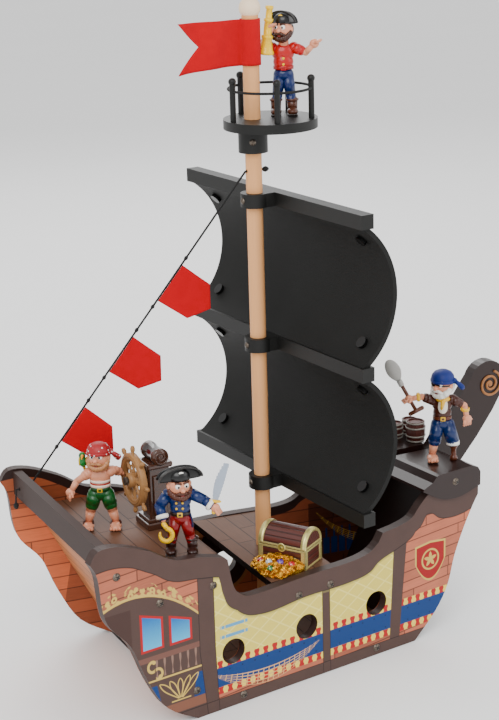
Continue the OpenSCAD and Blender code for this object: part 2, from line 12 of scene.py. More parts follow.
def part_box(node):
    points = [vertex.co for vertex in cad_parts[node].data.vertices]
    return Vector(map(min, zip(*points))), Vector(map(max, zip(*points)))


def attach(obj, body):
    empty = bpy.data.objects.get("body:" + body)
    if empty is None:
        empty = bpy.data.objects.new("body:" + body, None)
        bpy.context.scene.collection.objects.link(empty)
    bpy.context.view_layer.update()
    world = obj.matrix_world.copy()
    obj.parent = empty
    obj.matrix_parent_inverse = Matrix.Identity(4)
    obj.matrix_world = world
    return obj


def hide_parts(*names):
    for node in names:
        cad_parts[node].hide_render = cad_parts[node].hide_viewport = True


bl_info = {
    "name": "Toy Sailing Ship",
    "version": (1, 0, 0),
    "blender": (4, 5, 0),
    "location": "View3D > Sidebar > Ship",
    "description": "Finishes and detailed pieces of a wooden toy sailing ship",
    "category": "Object",
}

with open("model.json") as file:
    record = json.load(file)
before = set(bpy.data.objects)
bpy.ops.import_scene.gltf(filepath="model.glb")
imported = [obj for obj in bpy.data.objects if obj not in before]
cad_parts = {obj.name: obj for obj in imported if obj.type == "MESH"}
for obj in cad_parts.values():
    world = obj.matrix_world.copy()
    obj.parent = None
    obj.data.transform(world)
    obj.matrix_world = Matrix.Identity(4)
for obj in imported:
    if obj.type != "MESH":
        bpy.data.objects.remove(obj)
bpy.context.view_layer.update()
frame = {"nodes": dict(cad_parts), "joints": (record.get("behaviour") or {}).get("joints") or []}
MM = 0.001


DEPTH = 1.42  # how much deeper a paint is than it looks, as the view's soft curve pales it


def paint(red, green, blue):
    """A paint's colour, from how strong its red, green and blue look, out of 255."""
    return tuple(((v / 255 + 0.055) / 1.055) ** (2.4 * DEPTH) for v in (red, green, blue))


def colour_property(name, description, value):
    return bpy.props.FloatVectorProperty(name=name, description=description, subtype="COLOR", size=3,
                                         min=0.0, max=1.0, default=value)


class ShipColours(bpy.types.PropertyGroup):
    """The paints and woods of the ship."""
    rail: colour_property("Rail", "Brown of the rails and ribs", paint(108, 88, 82))
    plank: colour_property("Planks", "Salmon of the printed planks", paint(190, 128, 104))
    tan: colour_property("Tan planks", "Tan of the bow and stern planks", paint(200, 146, 104))
    deck: colour_property("Deck", "Brown of the deck planks", paint(130, 99, 80))
    yellow: colour_property("Yellow", "Yellow of the printed panels", paint(226, 212, 122))
    blue: colour_property("Blue", "Blue of the printed stripe", paint(28, 86, 142))
    red: colour_property("Red", "Red of the checks and the shield", paint(190, 52, 56))
    gold: colour_property("Gold", "Gold of the printed ornaments", paint(214, 190, 118))
    dark: colour_property("Dark wood", "Dark brown of the moulded trim", paint(64, 42, 37))
    black: colour_property("Black", "Black of the yards and sails", paint(44, 44, 42))
    dowel: colour_property("Dowel", "Bare wood of the mast", paint(226, 180, 134))
    felt: colour_property("Felt", "Red of the flag and the pennants", paint(198, 6, 46))
    chest: colour_property("Chest", "Brown of the chest's planks", paint(118, 68, 58))
    brass: colour_property("Brass", "Brass of the chest's bands", paint(196, 184, 112))


class ShipSizes(bpy.types.PropertyGroup):
    """The sizes of the ship's details."""
    plank: bpy.props.FloatProperty(name="Deck plank", description="Width of a deck plank", unit="LENGTH",
                                   default=0.017)
    coins: bpy.props.IntProperty(name="Coins", description="How many coins lie on the heap", default=420,
                                 min=0)
    coin: bpy.props.FloatProperty(name="Coin", description="Radius of a coin", unit="LENGTH", default=0.0027)
    felt: bpy.props.FloatProperty(name="Felt", description="Thickness of the felt", unit="LENGTH",
                                  default=0.0012)
    wave: bpy.props.FloatProperty(name="Wave", description="Height of the waves in the flag", unit="LENGTH",
                                  default=0.0016)


class ShipView(bpy.types.PropertyGroup):
    """The camera and the lights."""
    place: bpy.props.FloatVectorProperty(name="Camera", description="Where the camera stands",
                                         subtype="TRANSLATION", default=(-0.6409, -1.2537, 0.7092))
    azimuth: bpy.props.FloatProperty(name="Azimuth", description="Compass direction of the camera",
                                     subtype="ANGLE", default=math.radians(-26.74))
    elevation: bpy.props.FloatProperty(name="Elevation", description="How far the camera looks down",
                                       subtype="ANGLE", default=math.radians(17.23))
    roll: bpy.props.FloatProperty(name="Roll", description="How far the camera leans", subtype="ANGLE",
                                  default=math.radians(-1.64))
    lens: bpy.props.FloatProperty(name="Lens", description="Focal length", unit="CAMERA", default=83.86)
    light: bpy.props.FloatProperty(name="Light", description="Strength of the room's light", default=1.15,
                                   min=0.0)


# ---- Finishes ----

class Tone:
    """A value in a finish, with operators that add its Math nodes."""

    def __init__(self, finish, socket):
        self.finish = finish
        self.socket = socket

    def maths(self, operation, *others, clamp=False):
        return self.finish.maths(operation, self, *others, clamp=clamp)

    def __add__(self, other):
        return self.maths("ADD", other)

    def __sub__(self, other):
        return self.maths("SUBTRACT", other)

    def __rsub__(self, other):
        return self.finish.maths("SUBTRACT", other, self)

    def __mul__(self, other):
        return self.maths("MULTIPLY", other)

    def __truediv__(self, other):
        return self.maths("DIVIDE", other)

    def __neg__(self):
        return self.maths("MULTIPLY", -1.0)

    def __or__(self, other):
        return self.maths("MAXIMUM", other)

    def __and__(self, other):
        return self.maths("MINIMUM", other)

    def __abs__(self):
        return self.maths("ABSOLUTE")

    __radd__ = __add__
    __rmul__ = __mul__

    def floor(self):
        return self.maths("FLOOR")

    def fraction(self):
        return self.maths("FRACT")

    def root(self):
        return self.maths("SQRT")

    def wave(self):
        return self.maths("SINE")

    def above(self, edge, soft=0.4):
        """1 where the value is above the edge, 0 below it."""
        if isinstance(edge, Tone):
            return (self - edge).above(0.0, soft)
        return self.maths("MULTIPLY_ADD", 1 / soft, 0.5 - edge / soft, clamp=True)

    def below(self, edge, soft=0.4):
        return 1.0 - self.above(edge, soft)

    def within(self, low, high, soft=0.4):
        return self.above(low, soft) & self.below(high, soft)


class Finish:
    """A material made of nodes."""

    def __init__(self, name, **settings):
        self.material = bpy.data.materials.new(name)
        self.material.use_nodes = True
        self.tree = self.material.node_tree
        self.shader = self.tree.nodes["Principled BSDF"]
        for socket, value in settings.items():
            self.shader.inputs[socket.replace("_", " ")].default_value = value

    def node(self, kind, settings=None, inputs=None, output=0):
        """A node of that kind, with its settings and then its sockets' values or links."""
        made = self.tree.nodes.new(kind)
        for name, value in (settings or {}).items():
            if name == "curve":
                line = made.mapping.curves[0]
                while len(line.points) < len(value):
                    line.points.new(0.5, 0.5)
                for point, place in zip(line.points, value):
                    point.location = place
                made.mapping.update()
            else:
                setattr(made, name, value)
        for name, value in (inputs or {}).items():
            if isinstance(value, Tone):
                self.tree.links.new(value.socket, made.inputs[name])
            else:
                made.inputs[name].default_value = value
        return Tone(self, made.outputs[output])

    def maths(self, operation, *values, clamp=False):
        return self.node("ShaderNodeMath", {"operation": operation, "use_clamp": clamp},
                         dict(enumerate(values)))

    def mix(self, mask, under, over):
        """The colour over the one under it, where the mask is 1."""
        colours = [value if isinstance(value, Tone) else (*value, 1.0) for value in (under, over)]
        return self.node("ShaderNodeMix", {"data_type": "RGBA"}, {0: mask, 6: colours[0], 7: colours[1]}, 2)

    def shade(self, colour, amount):
        """The colour times an amount, which may vary over the surface."""
        grey = self.node("ShaderNodeCombineColor", {}, {0: amount, 1: amount, 2: amount})
        value = colour if isinstance(colour, Tone) else (*colour, 1.0)
        return self.node("ShaderNodeMix", {"data_type": "RGBA", "blend_type": "MULTIPLY"},
                         {0: 1.0, 6: value, 7: grey}, 2)

    def place(self):
        """The point on the object, in millimetres."""
        point = self.node("ShaderNodeTexCoord", {}, {}, "Object")
        return self.node("ShaderNodeVectorMath", {"operation": "SCALE"}, {0: point, "Scale": 1000.0})

    def axes(self, vector):
        made = self.node("ShaderNodeSeparateXYZ", {}, {0: vector})
        return [Tone(self, made.socket.node.outputs[i]) for i in range(3)]

    def point(self, x, y, z=0.0):
        return self.node("ShaderNodeCombineXYZ", {}, {0: x, 1: y, 2: z})

    def noise(self, vector, scale, detail=3.0, rough=0.5):
        return self.node("ShaderNodeTexNoise", {},
                         {"Vector": vector, "Scale": scale, "Detail": detail, "Roughness": rough})

    def chance(self, vector):
        """A steady random value for each whole point."""
        return self.node("ShaderNodeTexWhiteNoise", {"noise_dimensions": "3D"}, {"Vector": vector})

    def use(self, socket, value):
        self.tree.links.new(value.socket, self.shader.inputs[socket])

    def bump(self, height, strength=0.4, distance=0.0004):
        normal = self.node("ShaderNodeBump", {},
                           {"Height": height, "Strength": strength, "Distance": distance})
        self.use("Normal", normal)


def planks(finish, along, across, width, length, joint=0.5):
    """The tone of each plank, and 1 in the joints between them."""
    row = (across / width).floor()
    shift = finish.chance(finish.point(row, 3.0)) * 7.0
    column = (along / length + shift).floor()
    tone = finish.chance(finish.point(row, column, 5.0))
    side = abs((across / width).fraction() - 0.5).above(0.5 - joint / width, joint / width)
    end = abs((along / length + shift).fraction() - 0.5).above(0.5 - joint / length, joint / length)
    return tone, side | end


def grain(finish, along, across, depth, stretch=0.06):
    """Wood grain that runs along the plank."""
    return finish.noise(finish.point(along * stretch, across, depth), 0.9, 5.0, 0.62)


def plank_colour(finish, colour, along, across, depth, width, length, contrast=0.34, joint=0.5):
    """A planked surface: its colour, and its height for a bump."""
    tone, lines = planks(finish, along, across, width, length, joint)
    fibre = grain(finish, along, across, depth)
    cloud = finish.noise(finish.point(along, across, depth), 0.05, 2.0)
    amount = 0.62 + tone * contrast + fibre * 0.5 + cloud * 0.3 - 0.22
    made = finish.shade(colour, amount)
    return finish.mix(lines * 0.72, made, paint(60, 38, 30)), fibre * 0.25 - lines


def deck_finish():
    """A printed plank deck, with dark edges."""
    colours, sizes = bpy.context.scene.ship_colours, bpy.context.scene.ship_sizes
    finish = Finish("deck_planks", Roughness=0.5, Specular_IOR_Level=0.2)
    x, y, z = finish.axes(finish.place())
    colour, height = plank_colour(finish, colours.deck, y, x + 4.0, z * 0.2, sizes.plank / MM, 92.0, 0.3)
    normal = finish.node("ShaderNodeNewGeometry", {}, {}, "Normal")
    up = finish.axes(normal)[2].above(0.5, 0.2)
    finish.use("Base Color", finish.mix(up, paint(34, 25, 22), colour))
    finish.bump(height)
    return finish.material


def transom_finish():
    """Tan planks across the stern."""
    finish = Finish("transom_planks", Roughness=0.5, Specular_IOR_Level=0.3)
    x, y, z = finish.axes(finish.place())
    colour, height = plank_colour(finish, bpy.context.scene.ship_colours.tan, y, z + 3.0, x * 0.2, 15.0,
                                  120.0)
    finish.use("Base Color", colour)
    finish.bump(height)
    return finish.material


SIDE_TAPER = math.radians(7)
SIDE_PLACE = 84.0  # half the width over the boards at the mast
RAIL_TOP = [(-212, 176), (-185, 176), (-158, 164), (-135, 150), (-111, 146), (-86, 139), (-80, 120),
            (-72, 104), (-56, 97), (0, 99), (45, 99), (66, 102), (78, 110), (100, 117), (115, 123),
            (134, 141), (150, 133), (170, 131), (194, 137)]
RAIL_SPAN = (-212, 194)
RAIL_HIGH = 200


def rail_height(finish, along):
    """The height of the board's top edge at a place along it."""
    low, high = RAIL_SPAN
    share = (along - low) / (high - low)
    curve = [((s - low) / (high - low), z / RAIL_HIGH) for s, z in RAIL_TOP]
    return finish.node("ShaderNodeFloatCurve", {"curve": curve}, {"Factor": 1.0, "Value": share}) * RAIL_HIGH


def loop_line(finish, s, z, centre, size, thick=0.9):
    """A thin line round an ellipse."""
    across = (s - centre[0]) / size[0]
    up = (z - centre[1]) / size[1]
    reach = (across * across + up * up).root()
    return abs(reach - 1.0).below(thick / min(size), 0.5 / min(size))


def disc(s, z, centre, radius, soft=0.5):
    across = s - centre[0]
    up = z - centre[1]
    return (across * across + up * up).root().below(radius, soft)


def window(finish, colour, s, z, low, high, top_slope):
    """A blue window in a red frame."""
    colours = bpy.context.scene.ship_colours
    roof = z + (s - low[0]) * top_slope
    outer = s.within(low[0], high[0]) & z.above(low[1]) & roof.below(high[1])
    inner = s.within(low[0] + 2.2, high[0] - 2.2) & z.above(low[1] + 2.2) & roof.below(high[1] - 2.2)
    colour = finish.mix(outer, colour, colours.red)
    sky = finish.mix(((z - low[1]) / (high[1] - low[1])), paint(104, 196, 228), paint(0, 112, 186))
    return finish.mix(inner, colour, sky)


def hammock(s, z, left, right, sag, drop):
    """The gold lines of a net slung between two points."""
    middle, reach = (left[0] + right[0]) / 2, (right[0] - left[0]) / 2
    t = (s - middle) / reach
    chord = t * ((right[1] - left[1]) / 2) + (left[1] + right[1]) / 2
    bow = 1.0 - t * t
    inside = t.within(-1.0, 1.0, 0.02)
    top = chord - bow * sag
    low = top - bow * drop
    depth = (top - z) / (bow * drop + 0.6)
    mesh = abs((depth * 4.0).fraction() - 0.5).above(0.36, 0.08)
    cross = abs((s / 5.5 + depth * 0.3).fraction() - 0.5).above(0.43, 0.05)
    body = z.below(top + 0.6) & z.above(low - 0.6) & inside
    return (mesh | cross) & body


def stern_bay(finish, s, z, colour):
    """The cabin print: planks, leaf frieze, windows, balusters and fan."""
    colours = bpy.context.scene.ship_colours
    rail, gold = colours.rail, colours.gold
    bend = s + 150.0
    arch = 121.0 - bend * 0.42 - bend * bend * 0.0078
    colour = finish.mix(z.below(arch), colour, rail)
    colour = finish.mix(z.within(72.0, 118.0) & s.below(-178.0, 1.0), colour, paint(98, 76, 70))
    leaves = finish.node("ShaderNodeTexVoronoi", {"feature": "F1"},
                         {"Vector": finish.point(s, z - arch), "Scale": 0.19, "Randomness": 0.7})
    frieze = (z - arch).within(0.0, 12.0, 1.0)
    spray = (z - arch + (s * 0.33).wave() * 2.6).within(0.0, 10.0, 0.8)
    curl = abs(leaves - 0.36).below(0.17, 0.1) & frieze & spray
    colour = finish.mix(curl | (z - arch).within(0.0, 2.4), colour, gold)
    colour = window(finish, colour, s, z, (-170.0, 75.5), (-148.0, 111.0), 0.34)
    colour = window(finish, colour, s, z, (-142.5, 75.0), (-120.5, 102.5), 0.36)
    colour = finish.mix(z.within(66.0, 71.0), colour, paint(140, 106, 96))
    post = abs((s / 7.6).fraction() - 0.5)
    turned = post.below(0.09 + ((z * 0.42).wave() * 0.05), 0.05)
    colour = finish.mix(turned & z.within(50.0, 66.0) & s.above(-157.0), colour, paint(160, 134, 122))
    colour = finish.mix(z.within(47.2, 48.8), colour, gold)
    curve = loop_line(finish, s, z, (-160.0, 61.0), (4.0, 4.6), 1.1) & s.below(-158.0, 0.8)
    tail = loop_line(finish, s, z, (-155.0, 53.5), (4.2, 4.6), 1.1) & s.above(-157.0, 0.8)
    colour = finish.mix(curve | tail | disc(s, z, (-158.4, 64.6), 1.7) | disc(s, z, (-153.0, 50.6), 1.7),
                        colour, gold)
    aft, fore = s.below(-152.0 - (z - 21.0) * 0.2), s.above(-121.0 + (z - 21.0) * 0.15)
    blue_corner = z.within(21.0, 43.0) & (aft | fore)
    colour = finish.mix(blue_corner, colour, colours.blue)
    fan = z.within(22.6, 23.8) & s.within(-143.0, -124.0)
    for tip in (-154.0, -144.0, -134.0, -124.5, -116.0):
        way = Vector((tip + 134.0, 19.5))
        reach = way.length
        way.normalize()
        along = ((s + 134.0) * way.x + (z - 23.5) * way.y) / reach
        across = abs((s + 134.0) * way.y - (z - 23.5) * way.x)
        square = along * along
        petal = along * 4.6 * (1.0 - square * square)
        fan = fan | (abs(across - petal).below(0.5, 0.4) & along.within(0.08, 1.0, 0.02))
    colour = finish.mix(fan, colour, gold)
    return finish.mix(z.within(12.0, 21.0), colour, paint(150, 110, 92))


def checks(finish, s, z, low, high, colour):
    """A row of red and yellow teeth."""
    colours = bpy.context.scene.ship_colours
    tooth = abs((s / 9.4).fraction() - 0.5).above(0.25 + (z * 1.1).wave() * 0.05, 0.05)
    teeth = finish.mix(tooth, paint(236, 214, 120), colours.red)
    return finish.mix(z.within(low, high), colour, teeth)


def middle_bays(finish, s, z, colour):
    """The yellow quilted panels with two pale bars."""
    colours = bpy.context.scene.ship_colours
    colour = finish.mix(z.above(20.0), colour, colours.yellow)
    quilt = abs(((s + z * 1.5) / 21.0).fraction() - 0.5).above(0.45, 0.05)
    quilt = quilt | abs(((s - z * 1.5) / 21.0).fraction() - 0.5).above(0.45, 0.05)
    colour = finish.mix(quilt * 0.5 & z.above(20.0), colour, paint(246, 238, 170))
    bar = z.within(74.5, 77.5, 0.3) | z.within(65.5, 68.5, 0.3)
    cell = abs((s / 4.0).fraction() - 0.5).below(0.4, 0.1) | s.within(-86.0, -71.0)
    return finish.mix(bar & s.within(-93.0, -65.0) & cell, colour, paint(120, 175, 205))


def bow_bay(finish, s, z, colour):
    """The shield with a star on the bow planks."""
    colours = bpy.context.scene.ship_colours
    across = abs(s - 137.0)
    foot = 56.0 + across * across * 0.06
    border = across.below(18.0) & z.below(95.0 - across * 0.12) & z.above(foot)
    field = across.below(16.2) & z.below(93.0 - across * 0.12) & z.above(foot + 2.0)
    colour = finish.mix(border, colour, colours.gold)
    colour = finish.mix(field, colour, paint(176, 42, 48))
    ring = loop_line(finish, s, z, (137.0, 77.0), (9.5, 9.5), 0.9)
    side, up = s - 137.0, z - 77.0
    angle = finish.maths("ARCTAN2", side, up)
    point = abs((angle * (5 / math.tau)).fraction() - 0.5)
    star = (side * side + up * up).root().below(2.6 + point * 10.0)
    return finish.mix(ring | star, colour, colours.gold)


def outer_print(finish, s, z, depth):
    """The picture on the outside of a side board."""
    colours = bpy.context.scene.ship_colours
    edge = rail_height(finish, s)
    edge = edge & (rail_height(finish, s + 9.0) + 7.0) & (rail_height(finish, s - 9.0) + 7.0)
    low_edge = edge - 19.0
    colour, height = plank_colour(finish, colours.plank, s, z + 2.0 - s * 0.06, depth, 9.6, 74.0, 0.3)
    tan = finish.shade(colour, 1.12)
    colour = finish.mix(s.above(104.0), colour, tan)
    stern = stern_bay(finish, s, z, colour)
    middle = middle_bays(finish, s, z, colour)
    bow = bow_bay(finish, s, z, colour)
    colour = finish.mix(s.below(-105.0), finish.mix(s.above(100.0), middle, bow), stern)
    striped = s.above(-105.0)
    stripe = checks(finish, s, z, 39.0, 46.0, colour)
    stripe = finish.mix(z.within(21.5, 39.5), stripe, colours.blue)
    stripe = checks(finish, s, z, 15.0, 21.5, stripe)
    rivet = abs((s / 13.0).fraction() - 0.5).below(0.06, 0.05) & (z.within(35.2, 36.8) | z.within(23.4, 25.0))
    stripe = finish.mix(rivet * 0.6, stripe, paint(14, 40, 76))
    colour = finish.mix(striped, colour, stripe)
    net = hammock(s, z, (-100.0, 34.0), (10.0, 34.0), 9.0, 13.0)
    colour = finish.mix(net, colour, paint(222, 186, 140))
    haze = finish.noise(finish.point(s, z, depth), 0.06, 4.0)
    brown = finish.shade(colours.rail, 0.86 + haze * 0.28)
    rib_low = -113.5 + (60.0 - (z & 60.0)) * 0.1
    rib_high = -98.0 + (60.0 - (z & 60.0)) * 0.035
    ribs = (s - rib_low).above(0.0) & (s - rib_high).below(0.0)
    ribs = ribs | s.within(14.2, 22.2)
    ribs = ribs | ((s - 88.7 - z * 0.055).above(0.0) & (s - 99.6 - z * 0.095).below(0.0))
    trim = ribs | z.above(low_edge) | z.below(10.5)
    groove = abs(z - low_edge).below(0.5, 0.5)
    for line in (rib_low, rib_high, 14.2, 22.2):
        groove = groove | (abs(s - line).below(0.35, 0.4) & z.below(low_edge))
    groove = groove | abs(z - 10.5).below(0.4, 0.4)
    colour = finish.mix(trim, colour, brown)
    glow = (low_edge - z).within(0.0, 2.2, 1.0) & s.within(-98.0, 94.0)
    colour = finish.mix(glow * 0.5, colour, paint(170, 160, 110))
    return finish.mix(groove * 0.75, colour, paint(52, 38, 34)), height


def inner_print(finish, s, z, depth):
    """The picture on the inside of a side board: planks, shelves, a crate and two nets."""
    colours = bpy.context.scene.ship_colours
    colour, height = plank_colour(finish, paint(168, 106, 76), s, z, depth, 13.0, 96.0, 0.5)
    stern = s.below(-140.0 - (140.0 - z) * 0.2) & z.below(138.0)
    colour = finish.mix(stern, colour, finish.shade(colour, 1.9))
    shelf = z.within(38.0, 40.5) | z.within(70.0, 72.5)
    hold = s.within(84.0, 186.0) & z.below(96.0)
    colour = finish.mix(hold * 0.72, colour, paint(48, 30, 26))
    colour = finish.mix(hold & shelf, colour, paint(104, 66, 48))
    bottle = abs((s / 8.2).fraction() - 0.5)
    neck = bottle.below(0.12, 0.06) & z.within(58.0, 68.0)
    row = (bottle.below(0.4, 0.06) & z.within(41.0, 58.0)) | neck
    colour = finish.mix(row & s.within(98.0, 134.0), colour, paint(20, 74, 124))
    colour = finish.mix(row & s.within(148.0, 158.0), colour, paint(16, 96, 62))
    slat = abs((s / 6.0).fraction() - 0.5).above(0.44, 0.06)
    crate = s.within(156.0, 183.0) & z.within(56.0, 73.0)
    colour = finish.mix(crate, colour, finish.mix(slat, paint(150, 26, 34), paint(70, 14, 20)))
    arch_side = s + 4.0
    arch = (arch_side * arch_side + (z - 58.0) * (z - 58.0) * 0.6).root()
    colour = finish.mix(arch.below(26.0) & z.above(20.0), colour, paint(70, 42, 34))
    colour = finish.mix(arch.within(26.0, 29.0) & z.above(20.0), colour, paint(160, 116, 76))
    nets = hammock(s, z, (92.0, 86.0), (182.0, 60.0), 16.0, 8.0)
    nets = nets | hammock(s, z, (134.0, 95.0), (194.0, 90.0), 6.0, 7.0)
    colour = finish.mix(nets, colour, paint(190, 160, 80))
    edge = rail_height(finish, s)
    colour = finish.mix(z.above(edge - 9.0), colour, paint(70, 50, 45))
    return colour, height


def board_finish():
    """The printed side boards: outside, inside and painted edges."""
    finish = Finish("side_board_print", Roughness=0.48, Specular_IOR_Level=0.25)
    x, y, z = finish.axes(finish.place())
    out = SIDE_PLACE - abs(y)
    c, n = math.cos(SIDE_TAPER), math.sin(SIDE_TAPER)
    s = x * c + out * n
    depth = out * c - x * n
    outside, height = outer_print(finish, s, z, 1.0)
    inside, _ = inner_print(finish, s, z, 9.0)
    edge = finish.shade(bpy.context.scene.ship_colours.rail,
                        0.42 + finish.noise(finish.place(), 0.2, 3.0) * 0.3)
    colour = finish.mix(depth.below(0.35, 0.2), edge, outside)
    colour = finish.mix(depth.above(8.6, 0.2), colour, inside)
    finish.use("Base Color", colour)
    finish.bump(height, 0.12, 0.0002)
    return finish.material


def wood_finish(name, colour, rough=0.42, axis=2, lines=1.0, contrast=0.5, coat=0.0):
    """Plain wood whose grain runs along an axis."""
    finish = Finish(name, Roughness=rough, Specular_IOR_Level=0.3, Coat_Weight=coat)
    point = finish.axes(finish.place())
    along = point[axis]
    across, depth = [point[i] for i in range(3) if i != axis]
    fibre = finish.noise(finish.point(across * lines, depth * lines, along * 0.035), 0.8, 6.0, 0.6)
    flame = finish.noise(finish.point(across, depth, along * 0.02), 0.16, 2.0)
    tone = 1.0 - contrast * 0.55 + fibre * contrast * 0.8 + flame * contrast * 0.4
    finish.use("Base Color", finish.shade(colour, tone))
    finish.bump(fibre, 0.18, 0.0003)
    return finish.material


def cast_finish(name, colour, rough=0.3, mottle=0.25, scale=0.22, bump=0.2, rub_and_highlight=None, metal=0.0, coat=0.0):
    """Painted or moulded resin: a little mottled, and lighter in patches where it stands proud, as rubbed
    paint with a painted highlight.
    """
    finish = Finish(name, Roughness=rough, Metallic=metal, Specular_IOR_Level=0.32, Coat_Weight=coat)
    point = finish.place()
    cloud = finish.noise(point, scale, 4.0)
    fine = finish.noise(point, 2.4, 3.0)
    made = finish.shade(colour, 1.0 - mottle * 0.5 + cloud * mottle)
    if rub_and_highlight:
        # Lighter colour in patches on the proud edges: painted highlight, together with rubbed paint.
        proud = finish.node("ShaderNodeNewGeometry", {}, {}, "Pointiness")
        made = finish.mix((proud.above(0.53, 0.05) & fine.above(0.4, 0.3)) * 0.7, made, rub_and_highlight)
    finish.use("Base Color", made)
    finish.bump(cloud * 0.4 + fine * 0.3, bump, 0.0004)
    return finish.material


def sail_finish():
    """Black foam sheet with a leathery grain."""
    finish = Finish("black_sail", Roughness=0.7, Specular_IOR_Level=0.25)
    point = finish.place()
    pores = finish.node("ShaderNodeTexVoronoi", {"feature": "DISTANCE_TO_EDGE"},
                        {"Vector": point, "Scale": 0.85})
    cloud = finish.noise(point, 0.03, 3.0)
    finish.use("Base Color", finish.shade(bpy.context.scene.ship_colours.black, 0.8 + cloud * 0.45))
    finish.bump(pores * 1.4 + finish.noise(point, 1.6, 3.0), 0.35, 0.0004)
    return finish.material


def felt_finish():
    """Wool felt: a fuzzy surface of short fibres."""
    finish = Finish("red_felt", Roughness=0.95, Specular_IOR_Level=0.1, Sheen_Weight=0.04)
    point = finish.place()
    fibre = finish.noise(point, 2.6, 6.0, 0.75)
    cloud = finish.noise(point, 0.12, 2.0)
    finish.use("Base Color",
               finish.shade(bpy.context.scene.ship_colours.felt, 0.72 + fibre * 0.4 + cloud * 0.2))
    finish.bump(fibre, 0.5, 0.0006)
    return finish.material


def cord_finish(name, colour, pitch=1.6):
    """Twisted cord."""
    finish = Finish(name, Roughness=0.8)
    x, y, z = finish.axes(finish.place())
    strand = ((x * 0.6 + y * 0.5 + z) * (math.tau / pitch)).wave()
    finish.use("Base Color", finish.shade(colour, 0.9 + strand * 0.3))
    finish.bump(strand, 0.6, 0.0003)
    return finish.material


def steel_finish():
    """Plated screws, dull and slightly stained."""
    finish = Finish("screw_steel", Metallic=0.85)
    point = finish.place()
    stain = finish.noise(point, 0.8, 4.0)
    finish.use("Base Color", finish.mix(stain.above(0.5, 0.4), paint(96, 84, 78), paint(150, 142, 132)))
    finish.use("Roughness", 0.28 + stain * 0.3)
    return finish.material


def gem_finish(name, colour):
    finish = Finish(name, Roughness=0.05, Coat_Weight=1.0, Transmission_Weight=0.35, IOR=1.5)
    cloud = finish.noise(finish.place(), 0.5, 2.0)
    finish.use("Base Color", finish.shade(colour, 0.8 + cloud * 0.5))
    return finish.material


def gold_finish():
    """Gold coins, bright on top and darker between."""
    finish = Finish("gold_coins", Metallic=0.85, Roughness=0.26)
    point = finish.place()
    cloud = finish.noise(point, 0.3, 3.0)
    finish.use("Base Color", finish.mix(cloud.above(0.5, 0.3), paint(176, 118, 30), paint(242, 200, 84)))
    finish.bump(finish.noise(point, 1.8, 2.0), 0.3, 0.0003)
    return finish.material


def dotted_finish():
    """Red cloth with white dots."""
    finish = Finish("dotted_scarf", Roughness=0.5)
    spots = finish.node("ShaderNodeTexVoronoi", {"feature": "F1"},
                        {"Vector": finish.place(), "Scale": 0.3, "Randomness": 0.3})
    finish.use("Base Color", finish.mix(spots.below(0.26, 0.06), paint(178, 22, 40), paint(235, 225, 225)))
    return finish.material


FINISHES = {}


def finish_of(name, maker, *values, **settings):
    """A finish, made once and then shared."""
    if name not in FINISHES:
        FINISHES[name] = maker(*values, **settings)
    return FINISHES[name]


def toy_paint(name, red, green, blue, rough=0.32):
    """Vinyl paint of a figure."""
    return finish_of(name, cast_finish, name, paint(red, green, blue), rough, 0.16, 0.35, 0.1, None, 0.0,
                     0.25)


# ---- Forms ----

